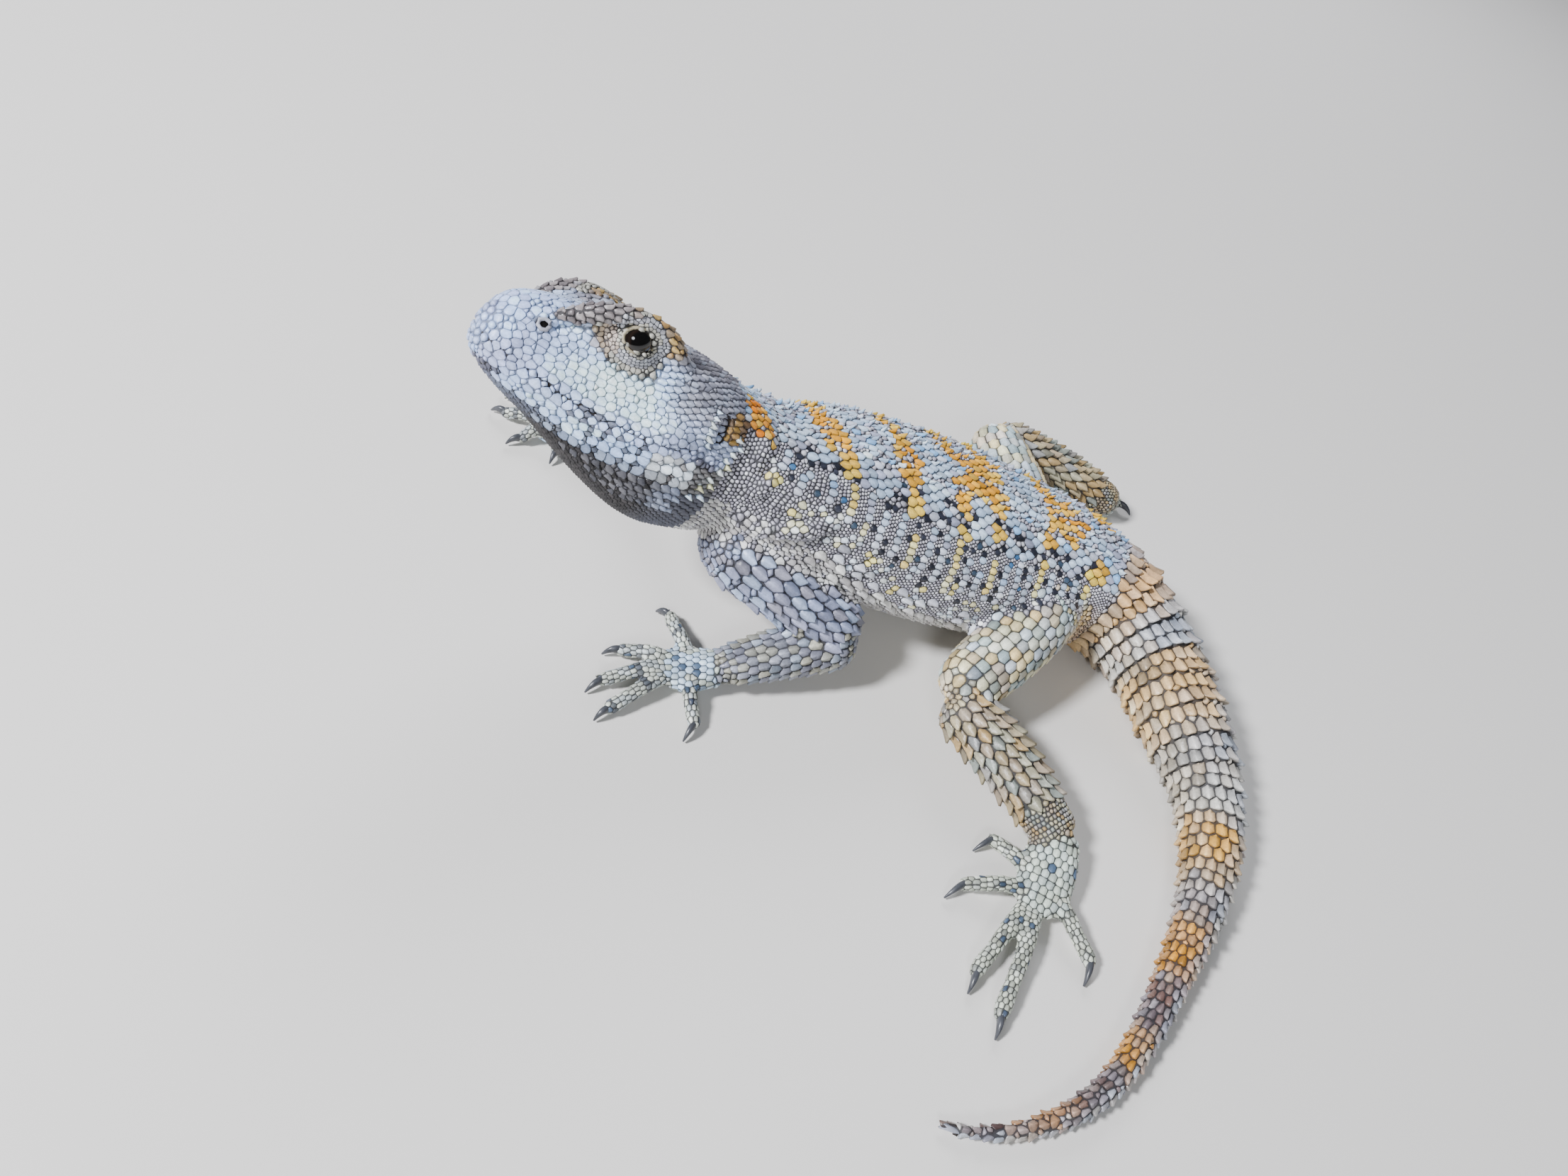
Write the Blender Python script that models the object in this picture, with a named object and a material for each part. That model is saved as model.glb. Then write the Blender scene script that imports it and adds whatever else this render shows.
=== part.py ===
"""A clown agama at rest, life size, as a museum model.

The neck, trunk and tail are oval sections along one centre line. Limbs and digits are made the same
way from tables of their own, and the head has a straight axis of its own. Neighbours meet across a
thin gap. Tables are in millimetres and the scene is in metres. The animal faces -X, its left side
is towards -Y, and it rests on the floor at z = 0.
"""

import math
import random

import bmesh
import bpy
import numpy as np

for old in list(bpy.data.objects):
    bpy.data.objects.remove(old)

MM = 0.001
GAP = 0.3  # clear space between neighbours
SEED = 7

# The head's own axis: where the tip of the snout is, and how the head is turned
SNOUT = (-55.8, 4.4, 50.6)
HEAD_YAW, HEAD_PITCH, HEAD_ROLL = 14.0, 21.5, 28.0
HEAD_LENGTH = 41.5  # snout to the plane where the neck begins

# Scutes: how far their tips stand out, and how far they lean back
BACK_RISE, BACK_LEAN = 0.45, 0.5
LIMB_RISE, LIMB_LEAN = 0.55, 0.7
TAIL_RISE, TAIL_KEEL = 0.7, 0.45
SCUTE_MOST = 0.8  # no scute of a parent stands out further than this

# Columns of every station table from here on:
# x, y, z, half width, height above the line, depth below it, squareness, roll in degrees


def unit(v):
    v = np.asarray(v, float)
    return v / np.linalg.norm(v, axis=-1, keepdims=True)


def turned(forward, roll):
    """Left and up directions across a line that runs forward, rolled left side up."""
    up = unit(np.array([0.0, 0.0, 1.0]) - forward[..., 2:] * forward)
    left = np.cross(forward, up)
    c, s = np.cos(roll)[..., None], np.sin(roll)[..., None]
    return left * c + up * s, up * c - left * s


class Loft:
    """Oval sections along a smooth line through a table of stations."""

    def __init__(self, stations, round_start=0.0, round_end=0.0):
        self.rows = np.array(stations, float)
        steps = np.linalg.norm(np.diff(self.rows[:, :3], axis=0), axis=1)
        self.marks = np.concatenate([[0.0], np.cumsum(steps)])
        self.slopes = np.gradient(self.rows, self.marks, axis=0)
        self.length = self.marks[-1]
        self.round_start, self.round_end = round_start, round_end

    def values(self, s):
        """The table's values and their rate of change at length s, on a cubic between stations."""
        s = np.clip(s, 0.0, self.length)
        i = np.clip(np.searchsorted(self.marks, s, side="right") - 1, 0, len(self.marks) - 2)
        h = (self.marks[i + 1] - self.marks[i])[..., None]
        t = (s - self.marks[i])[..., None] / h
        a, b = self.rows[i], self.rows[i + 1]
        ma, mb = self.slopes[i] * h, self.slopes[i + 1] * h
        value = (
            (2 * t**3 - 3 * t**2 + 1) * a
            + (t**3 - 2 * t**2 + t) * ma
            + (3 * t**2 - 2 * t**3) * b
            + (t**3 - t**2) * mb
        )
        rate = (
            6 * (t**2 - t) * (a - b) + (3 * t**2 - 4 * t + 1) * ma + (3 * t**2 - 2 * t) * mb
        ) / h
        return value, rate

    def rounding(self, s):
        """How much a section shrinks towards a rounded end."""
        size = np.ones_like(s)
        for reach, left in ((self.round_start, s), (self.round_end, self.length - s)):
            if reach:
                inset = np.clip(1 - left / reach, 0.0, 0.98)
                size = size * np.sqrt(1 - inset**2)
        return size

    def points(self, s, angle, rise=0.0):
        """Points on the surface at length s and angle from the left side, raised outwards."""
        s, angle = np.broadcast_arrays(np.asarray(s, float), np.asarray(angle, float))
        value, rate = self.values(s)
        left, up = turned(unit(rate[..., :3]), np.radians(value[..., 7]))
        size = self.rounding(s)
        c, n = np.cos(angle), np.sin(angle)
        power = 2 / np.where(n > 0, value[..., 6], 2.2)
        wide = value[..., 3] * size + rise
        high = np.where(n > 0, value[..., 4], value[..., 5]) * size + rise
        across = np.sign(c) * np.abs(c) ** power * wide
        upward = np.sign(n) * np.abs(n) ** power * high
        return value[..., :3] + left * across[..., None] + up * upward[..., None]

    def stops(self, spacing, start=0.0, end=None):
        """Even lengths along the line, with extra ones over a rounded end."""
        end = self.length if end is None else end
        count = max(2, round((end - start) / spacing) + 1)
        at = list(np.linspace(start, end, count))
        for reach, edge, way in (
            (self.round_start, 0.0, 1.0),
            (self.round_end, self.length, -1.0),
        ):
            if reach and start <= edge <= end:
                at = [s for s in at if (s - edge) * way > reach * 0.9]
                at += [edge + way * reach * part for part in (0.0, 0.16, 0.5)]
        return sorted(at)


def around(sides, crowd=0.0, turn=0.0):
    """Angles round a section, closer together on top by the share crowd."""
    even = np.arange(sides) * math.tau / sides + turn
    return even + crowd * np.cos(even)


def face_outwards(bm):
    bm.normal_update()
    bmesh.ops.recalc_face_normals(bm, faces=bm.faces)
    bm.normal_update()


def mesh_object(name, bm):
    mesh = bpy.data.meshes.new(name)
    face_outwards(bm)
    bm.to_mesh(mesh)
    bm.free()
    obj = bpy.data.objects.new(name, mesh)
    bpy.context.scene.collection.objects.link(obj)
    return obj


def raise_scute(bm, face, rise, back):
    """One face becomes a low pyramid whose tip leans along back."""
    face.normal_update()
    out = face.normal.copy()
    tip = bmesh.ops.poke(bm, faces=[face])["verts"][0]
    tip.co += out * rise * MM
    for axis in range(3):
        tip.co[axis] += back[axis] * MM


def loft_object(name, loft, at, sides, rise=0.0, crowd=0.0, twist=0.0, floor=True, scute=None):
    """A closed solid: rings at the lengths in at, joined ring to ring, with a fan over each end.

    rise is one number or one for each ring. scute(s, angle) gives a scute's rise and lean, or None.
    """
    bm = bmesh.new()
    rises = np.broadcast_to(np.asarray(rise, float), len(at))
    rings, angles = [], []
    for k, s in enumerate(at):
        angles.append(around(sides, crowd, twist * k * math.tau / sides))
        above = np.clip((np.sin(angles[-1]) + 0.8) / 0.4, 0.0, 1.0) if scute else 1.0
        rings.append([bm.verts.new(p * MM) for p in loft.points(s, angles[-1], rises[k] * above)])
    scutes = []
    for k in range(len(at) - 1):
        for j in range(sides):
            n = (j + 1) % sides
            face = bm.faces.new((rings[k][j], rings[k][n], rings[k + 1][n], rings[k + 1][j]))
            middle = (at[k] + at[k + 1]) / 2
            form = scute and scute(middle, (angles[k][j] + angles[k + 1][n - (n == 0)]) / 2)
            if form:
                back = unit(loft.values(np.array(middle))[1][:3]) * form[1]
                scutes.append((face, form[0], back))
    for ring in (rings[0], rings[-1][::-1]):
        bmesh.ops.poke(bm, faces=[bm.faces.new(ring)])
    face_outwards(bm)
    for face, height, back in scutes:
        raise_scute(bm, face, height, back)
    bmesh.ops.triangulate(bm, faces=bm.faces)
    if floor:
        for v in bm.verts:
            v.co.z = max(v.co.z, 0.0)
    return mesh_object(name, bm)


def keep_piece(obj, place=None):
    """Keeps one closed surface: the nearest to a place or, with none given, the largest."""
    bm = bmesh.new()
    bm.from_mesh(obj.data)
    unseen, pieces = set(bm.verts), []
    while unseen:
        reached, edge = set(), [unseen.pop()]
        while edge:
            v = edge.pop()
            reached.add(v)
            near = {e.other_vert(v) for e in v.link_edges} & unseen
            unseen -= near
            edge += near
        span = np.array([v.co for v in reached])
        if place is None:
            rank = -np.prod(np.ptp(span, axis=0))
        else:
            rank = np.linalg.norm(span - place * MM, axis=1).min()
        pieces.append((rank, len(pieces), reached))
    for _, _, reached in sorted(pieces, key=lambda piece: piece[:2])[1:]:
        bmesh.ops.delete(bm, geom=list(reached), context="VERTS")
    bmesh.ops.triangulate(bm, faces=bm.faces)
    bm.to_mesh(obj.data)
    bm.free()


def combine(obj, others, operation, solver="EXACT"):
    """Joins or cuts obj by other closed objects at once, and removes those."""
    group = bpy.data.collections.new("tools")
    bpy.context.scene.collection.children.link(group)
    for other in others:
        group.objects.link(other)
    modifier = obj.modifiers.new("combine", "BOOLEAN")
    modifier.operation = operation
    modifier.operand_type = "COLLECTION"
    modifier.collection = group
    modifier.solver = solver
    graph = bpy.context.evaluated_depsgraph_get()
    mesh = bpy.data.meshes.new_from_object(obj.evaluated_get(graph))
    obj.modifiers.clear()
    obj.data = mesh
    for other in others:
        bpy.data.objects.remove(other)
    bpy.data.collections.remove(group)


def cut(obj, cutters):
    """Takes closed cutters away one after another and keeps the largest piece."""
    for cutter in cutters:
        combine(obj, [cutter], "DIFFERENCE")
    keep_piece(obj)


def grown(loft, start=0.0, end=None, sides=24, more=0.0, spacing=2.5, crowd=0.0):
    """A cutter: the plain loft made wider by the gap, reaching below the floor."""
    at = loft.stops(spacing, start, end)
    return loft_object("cutter", loft, at, sides, GAP + more, crowd, floor=False)


def finish(obj, colour, roughness=0.75):
    """Gives a node its own plain material."""
    material = bpy.data.materials.new(obj.name + " skin")
    material.use_nodes = True
    shader = material.node_tree.nodes["Principled BSDF"]
    shader.inputs["Base Color"].default_value = (*colour, 1.0)
    shader.inputs["Roughness"].default_value = roughness
    shader.inputs["Metallic"].default_value = 0.0
    obj.data.materials.clear()
    obj.data.materials.append(material)
    obj.data.shade_flat()
    return obj


# Plain colours of the parts
PALE_BLUE_GREY = (0.42, 0.44, 0.47)
LILAC_GREY = (0.40, 0.38, 0.38)
CREAM = (0.58, 0.52, 0.40)
PEACH = (0.60, 0.38, 0.20)
DARK_EYE = (0.02, 0.015, 0.015)

# The head

yaw, pitch, roll = (math.radians(v) for v in (HEAD_YAW, HEAD_PITCH, HEAD_ROLL))
HEAD_BACK = -np.array(
    [-math.cos(yaw) * math.cos(pitch), -math.sin(yaw) * math.cos(pitch), math.sin(pitch)]
)
HEAD_LEFT, HEAD_UP = turned(HEAD_BACK, np.array(roll))


def in_head(back, left, up):
    """A point given by its distance behind the snout, to the left and above the head's axis."""
    return np.array(SNOUT) + HEAD_BACK * back + HEAD_LEFT * left + HEAD_UP * up


def head_station(back, half_width, above, below, square):
    return (*in_head(back, 0, 0), half_width, above, below, square, HEAD_ROLL)


HEAD_STATIONS = [
    head_station(0.0, 2.4, 3.6, 1.6, 2.2),
    head_station(0.8, 3.7, 5.4, 2.7, 2.2),
    head_station(2.0, 4.5, 7.0, 3.7, 2.3),
    head_station(4.0, 5.4, 8.4, 5.0, 2.4),
    head_station(7.0, 6.3, 9.2, 6.6, 2.6),
    head_station(11.0, 7.3, 9.8, 8.4, 3.0),
    head_station(15.0, 8.4, 10.3, 10.6, 3.2),
    head_station(19.0, 9.5, 10.6, 12.8, 3.2),
    head_station(23.0, 10.6, 10.6, 14.8, 3.0),
    head_station(27.0, 11.8, 10.4, 16.6, 2.8),
    head_station(31.0, 12.6, 10.2, 18.0, 2.6),
    head_station(35.0, 12.8, 9.8, 18.6, 2.5),
    head_station(39.0, 12.2, 9.0, 18.3, 2.5),
    head_station(HEAD_LENGTH, 11.8, 8.4, 18.0, 2.5),
]
HEAD = Loft(HEAD_STATIONS)

# The line of the mouth: distance behind the snout and height, out to its corner
MOUTH_LINE = [
    (0.0, 0.5),
    (3.5, -0.5),
    (8.5, -1.9),
    (13.4, -3.1),
    (18.6, -3.9),
    (25.1, -4.1),
    (32.5, -3.5),
]
# From the corner the jaw is parted from the head down to the throat
JAW_BACK = [(34.4, -5.0), (35.2, -9.0), (35.4, -30.0)]
LIP = 0.75  # radius of the swelling along each lip

EYE = (19.3, 7.3, 8.5)  # centre behind the snout, to the side and above the axis
EYE_RADIUS = 3.1
LID_RADIUS = 4.4
LID_CENTRE = (19.5, 6.5, 7.6)
LID_OPENING = (2.55, 1.95)  # half length and half height
BROW = [(7.8, 5.5, 7.2), (12.8, 7.7, 10.0), (18.5, 9.1, 11.5), (23.2, 9.3, 10.7), (27.0, 9.4, 8.9)]
BROW_RADIUS = 1.35
# Flesh that carries the brow, along the brow's line run on at both ends: its share of the brow's
# distance from the middle, how far it lies below the brow, and its radius
BROW_ROOT = [(8.4, 5.2, 7.4), *BROW[1:], (30.0, 9.2, 8.2)]
BROW_FILLS = [(0.9, 1.1, 1.6), (0.66, 2.3, 2.3)]
NOSTRIL = (6.7, 5.3, 5.7)
NOSTRIL_RING, NOSTRIL_HOLE = 1.15, 0.5
EAR = (36.6, 12.2, 1.3)
EAR_HALF = (1.15, 2.0, 2.6)  # half its length, depth and height
EAR_SPINES = [(34.6, 3.9), (34.4, 2.1), (34.4, 0.3), (34.7, -1.5)]  # along the ear's front edge
NECK_SPINES = [(40.2, 1.0), (40.6, -2.4), (39.6, -5.6), (38.0, -8.4)]  # tufts below the ear
SPINE_LENGTH, SPINE_RADIUS = 1.5, 0.75


def half_width_at(back, up):
    """The head's half width at a height above its axis."""
    value, _ = HEAD.values(np.array(float(back)))
    tall = value[4] if up > 0 else value[5]
    power = value[6] if up > 0 else 2.2
    return value[3] * (1 - min(1.0, abs(up) / tall) ** power) ** (1 / power)


def ball(name, centre, radii, axes, segments=20):
    """An ellipsoid with its half sizes along three given axes."""
    bm = bmesh.new()
    bmesh.ops.create_uvsphere(bm, u_segments=segments, v_segments=segments // 2, radius=1.0)
    for v in bm.verts:
        place = np.array(centre) + sum(r * c * a for r, c, a in zip(radii, v.co, axes))
        v.co = place * MM
    return mesh_object(name, bm)


def ridge(name, places, radius, ends=0.5, sides=5):
    """A smooth round ridge through places, thinner at its two ends."""
    count = len(places)
    rows = []
    for i, place in enumerate(places):
        r = radius * (ends if i in (0, count - 1) else 1.0)
        rows.append((*place, r, r, r, 2.0, 0.0))
    line = Loft(rows)
    return loft_object(name, line, line.stops(3.2), sides, floor=False)


def cone(name, root, tip, radius, sides=5):
    """A spine from its sunk root to its tip."""
    root, tip = np.array(root), np.array(tip)
    way = unit(tip - root)
    across = unit(np.cross(way, (0.3, 0.2, 0.93)))
    other = np.cross(way, across)
    bm = bmesh.new()
    top = bm.verts.new(tip * MM)
    ring = []
    for j in range(sides):
        a = j * math.tau / sides
        ring.append(bm.verts.new((root + radius * (across * math.cos(a) + other * math.sin(a))) * MM))
    bm.faces.new(ring)
    for j in range(sides):
        bm.faces.new((ring[j], ring[(j + 1) % sides], top))
    return mesh_object(name, bm)


def fringe(places, way, length, radius):
    """Short spines, each from its place on the skin out along way."""
    way = unit(way)
    return [cone("spine", place - way * length, place + way * length, radius) for place in places]


def strip(name, line, half, reach):
    """A thin bent sheet through a line of (back, up) points, right across the head."""
    line = np.array(line, float)
    along = unit(np.gradient(line, axis=0))
    side = np.stack([-along[:, 1], along[:, 0]], axis=1) * half
    outline = np.concatenate([line + side, (line - side)[::-1]])
    bm = bmesh.new()
    walls = [
        [bm.verts.new(in_head(b, left, u) * MM) for b, u in outline] for left in (-reach, reach)
    ]
    count = len(outline)
    for j in range(count):
        n = (j + 1) % count
        bm.faces.new((walls[0][j], walls[0][n], walls[1][n], walls[1][j]))
    half_count = len(line)
    for wall in walls:
        for j in range(half_count - 1):
            bm.faces.new((wall[j], wall[j + 1], wall[count - 2 - j], wall[count - 1 - j]))
    bmesh.ops.triangulate(bm, faces=bm.faces)
    return mesh_object(name, bm)


def lip_places(side):
    """Points along one side's lip, from the snout to the corner of the mouth."""
    places = []
    for back, up in MOUTH_LINE[1:]:
        places.append(in_head(back, side * (half_width_at(back, up) - 0.25), up))
    return places


def make_head():
    head = loft_object("head", HEAD, HEAD.stops(3.2), 22, crowd=0.15, floor=False)
    forms, hollows, eyes = [], [], []
    head_axes = (HEAD_BACK, HEAD_LEFT, HEAD_UP)
    for side, word in ((1, "left"), (-1, "right")):
        lid = in_head(LID_CENTRE[0], side * LID_CENTRE[1], LID_CENTRE[2])
        forms.append(ball("lid", lid, [LID_RADIUS] * 3, head_axes, 12))
        brow = [in_head(b, side * left, up) for b, left, up in BROW]
        forms.append(ridge("brow", brow, BROW_RADIUS))
        for share, drop, radius in BROW_FILLS:
            under = [in_head(b, side * left * share, up - drop) for b, left, up in BROW_ROOT]
            forms.append(ridge("brow_root", under, radius))
        forms.append(ridge("lip", lip_places(side), LIP))
        nostril = in_head(NOSTRIL[0], side * (NOSTRIL[1] - 0.5), NOSTRIL[2])
        forms.append(ball("nostril", nostril, [NOSTRIL_RING] * 3, head_axes, 8))
        out = in_head(NOSTRIL[0] - 0.3, side * (NOSTRIL[1] + 0.75), NOSTRIL[2] + 0.1)
        hollows.append(ball("hole", out, (NOSTRIL_HOLE, 0.9, NOSTRIL_HOLE * 1.3), head_axes, 6))
        ear = in_head(EAR[0], side * EAR[1], EAR[2])
        hollows.append(ball("ear", ear, EAR_HALF, head_axes, 10))
        eye = in_head(EYE[0], side * EYE[1], EYE[2])
        hollows.append(ball("socket", eye, [EYE_RADIUS + GAP] * 3, head_axes, 12))
        window = in_head(EYE[0] + 0.1, side * (EYE[1] + EYE_RADIUS), EYE[2] - 0.1)
        hollows.append(ball("window", window, (LID_OPENING[0], 3.0, LID_OPENING[1]), head_axes, 12))
        eyes.append(ball("eye_" + word, eye, [EYE_RADIUS] * 3, head_axes, 14))
        for back, up in EAR_SPINES + NECK_SPINES:
            root = in_head(back, side * (half_width_at(back, up) - 0.2), up)
            way = HEAD_BACK * 0.8 + HEAD_LEFT * side
            forms += fringe([root], way, SPINE_LENGTH, SPINE_RADIUS)
    combine(head, forms, "UNION")
    for hollow in hollows:
        combine(head, [hollow], "DIFFERENCE")
    parting = [(-3.0, 0.9), *MOUTH_LINE, *JAW_BACK]
    combine(head, [strip("parting", parting, GAP / 2, 20.0)], "DIFFERENCE")
    jaw = bpy.data.objects.new("jaw", head.data.copy())
    bpy.context.scene.collection.objects.link(jaw)
    keep_piece(head, in_head(HEAD_LENGTH, 0, 0))
    keep_piece(jaw, in_head(10, 0, -8))
    finish(head, PALE_BLUE_GREY)
    finish(jaw, PALE_BLUE_GREY)
    for eye in eyes:
        finish(eye, DARK_EYE, 0.08)


# Neck, trunk and tail

NECK = head_station(HEAD_LENGTH, 11.8, 8.4, 18.0, 2.5)
SPINE_STATIONS = [
    head_station(HEAD_LENGTH - 3.0, 12.3, 9.1, 18.4, 2.5),
    NECK,
    (*in_head(46.5, 0, 0), 12.0, 7.6, 17.2, 2.4, 25),
    (-5.5, 14.6, 29.6, 15.2, 9.0, 16.0, 2.3, 16),
    (5.0, 16.6, 25.0, 18.4, 11.9, 15.6, 2.2, 8),
    (18.0, 18.6, 19.8, 20.0, 13.8, 15.0, 2.2, 4),
    (33.0, 20.4, 16.0, 20.0, 13.8, 13.8, 2.2, 2),
    (46.0, 21.2, 13.6, 17.2, 12.6, 14.0, 2.2, 0),
    (58.0, 20.2, 11.8, 14.4, 11.6, 13.0, 2.2, 0),
    (67.5, 17.0, 10.2, 11.2, 9.9, 11.2, 2.2, 0),
    (75.3, 6.5, 8.2, 8.8, 8.2, 8.6, 2.2, 0),
    (79.0, -7.4, 7.3, 7.8, 7.2, 7.6, 2.2, 0),
    (81.3, -21.4, 5.6, 6.0, 5.6, 5.9, 2.2, 0),
    (79.7, -32.2, 4.7, 5.1, 4.6, 5.0, 2.2, 0),
    (75.7, -42.3, 3.8, 4.1, 3.7, 4.1, 2.2, 0),
    (67.8, -55.2, 2.8, 2.9, 2.7, 3.1, 2.2, 0),
    (58.9, -67.2, 2.3, 2.3, 2.2, 2.6, 2.2, 0),
    (54.3, -72.2, 2.1, 2.1, 2.0, 2.4, 2.2, 0),
    (48.0, -76.8, 1.85, 1.85, 1.75, 2.1, 2.2, 0),
    (39.7, -80.2, 1.55, 1.5, 1.4, 1.8, 2.2, 0),
    (32.1, -81.4, 1.3, 1.2, 1.1, 1.5, 2.2, 0),
    (24.5, -80.6, 1.0, 0.8, 0.8, 1.2, 2.2, 0),
]
SPINE = Loft(SPINE_STATIONS, 0.0, 2.0)
NECK_START = SPINE.marks[1] + GAP
TRUNK_START = SPINE.marks[3] - 3.0
TAIL_START = SPINE.marks[9] - 3.5
WHORL_LENGTH = 2.9  # of the thinnest whorl, and longer by this share of the tail's half width
WHORL_SHARE = 0.34
TAIL_PARTS = 5
TAIL_SIDES = (12, 11, 10, 9, 8)


def back_scutes(rng):
    def form(s, angle):
        high = math.sin(angle)
        if high < 0.1:
            return None
        return BACK_RISE * min(1.0, 0.5 + high) * rng.uniform(0.7, 1.3), BACK_LEAN

    return form


def make_trunk():
    rng = random.Random(SEED)
    at = SPINE.stops(2.6, NECK_START, TRUNK_START - GAP / 2)
    neck = loft_object("neck", SPINE, at, 26, crowd=0.3, twist=0.5, scute=back_scutes(rng))
    finish(neck, LILAC_GREY)
    at = SPINE.stops(3.0, TRUNK_START + GAP / 2, TAIL_START - GAP / 2)
    torso = loft_object("torso", SPINE, at, 28, crowd=0.42, twist=0.5, scute=back_scutes(rng))
    finish(torso, PALE_BLUE_GREY)


def whorls():
    """Start and end of each ring of scutes, two rings to a whorl, from the base to the tip."""
    found, s = [], TAIL_START
    while s < SPINE.length - 0.5:
        wide = SPINE.values(np.array(s))[0][3]
        length = WHORL_LENGTH + WHORL_SHARE * wide
        found.append((s, s + length * 0.47, 0.6))
        found.append((s + length * 0.47, s + length, 1.0))
        s += length
    scale = (SPINE.length - TAIL_START) / (s - TAIL_START)
    return [
        (TAIL_START + (a - TAIL_START) * scale, TAIL_START + (b - TAIL_START) * scale, size)
        for a, b, size in found
    ]


def make_tail():
    rings = whorls()
    pairs = len(rings) // 2
    for part in range(TAIL_PARTS):
        first = 2 * round(pairs * part / TAIL_PARTS)
        last = 2 * round(pairs * (part + 1) / TAIL_PARTS)
        at, rise = [], []
        for start, end, size in rings[first:last]:
            thick = SPINE.values(np.array(start))[0][3]
            height = TAIL_RISE * size * min(1.0, 0.35 + thick / 8)
            at += [start + 0.05, start + (end - start) * 0.86]
            rise += [0.0, height]
        at[0] = rings[first][0] + GAP / 2
        at.append(rings[last - 1][1] - GAP / 2)
        rise.append(0.0)

        def keel(s, angle, rings=rings):
            for start, end, size in rings:
                if start <= s < start + (end - start) * 0.7 and math.sin(angle) > -0.3:
                    return TAIL_KEEL * size, 0.5
            return None

        tail = loft_object(
            f"tail_{part + 1}", SPINE, at, TAIL_SIDES[part], rise, scute=keel
        )
        finish(tail, PEACH)


# Limbs: the tables of the four legs, each with its upper part, lower part and foot


def oval(x, y, z, half_width, above, below):
    return (x, y, z, half_width, above, below, 2.2, 0.0)


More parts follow.
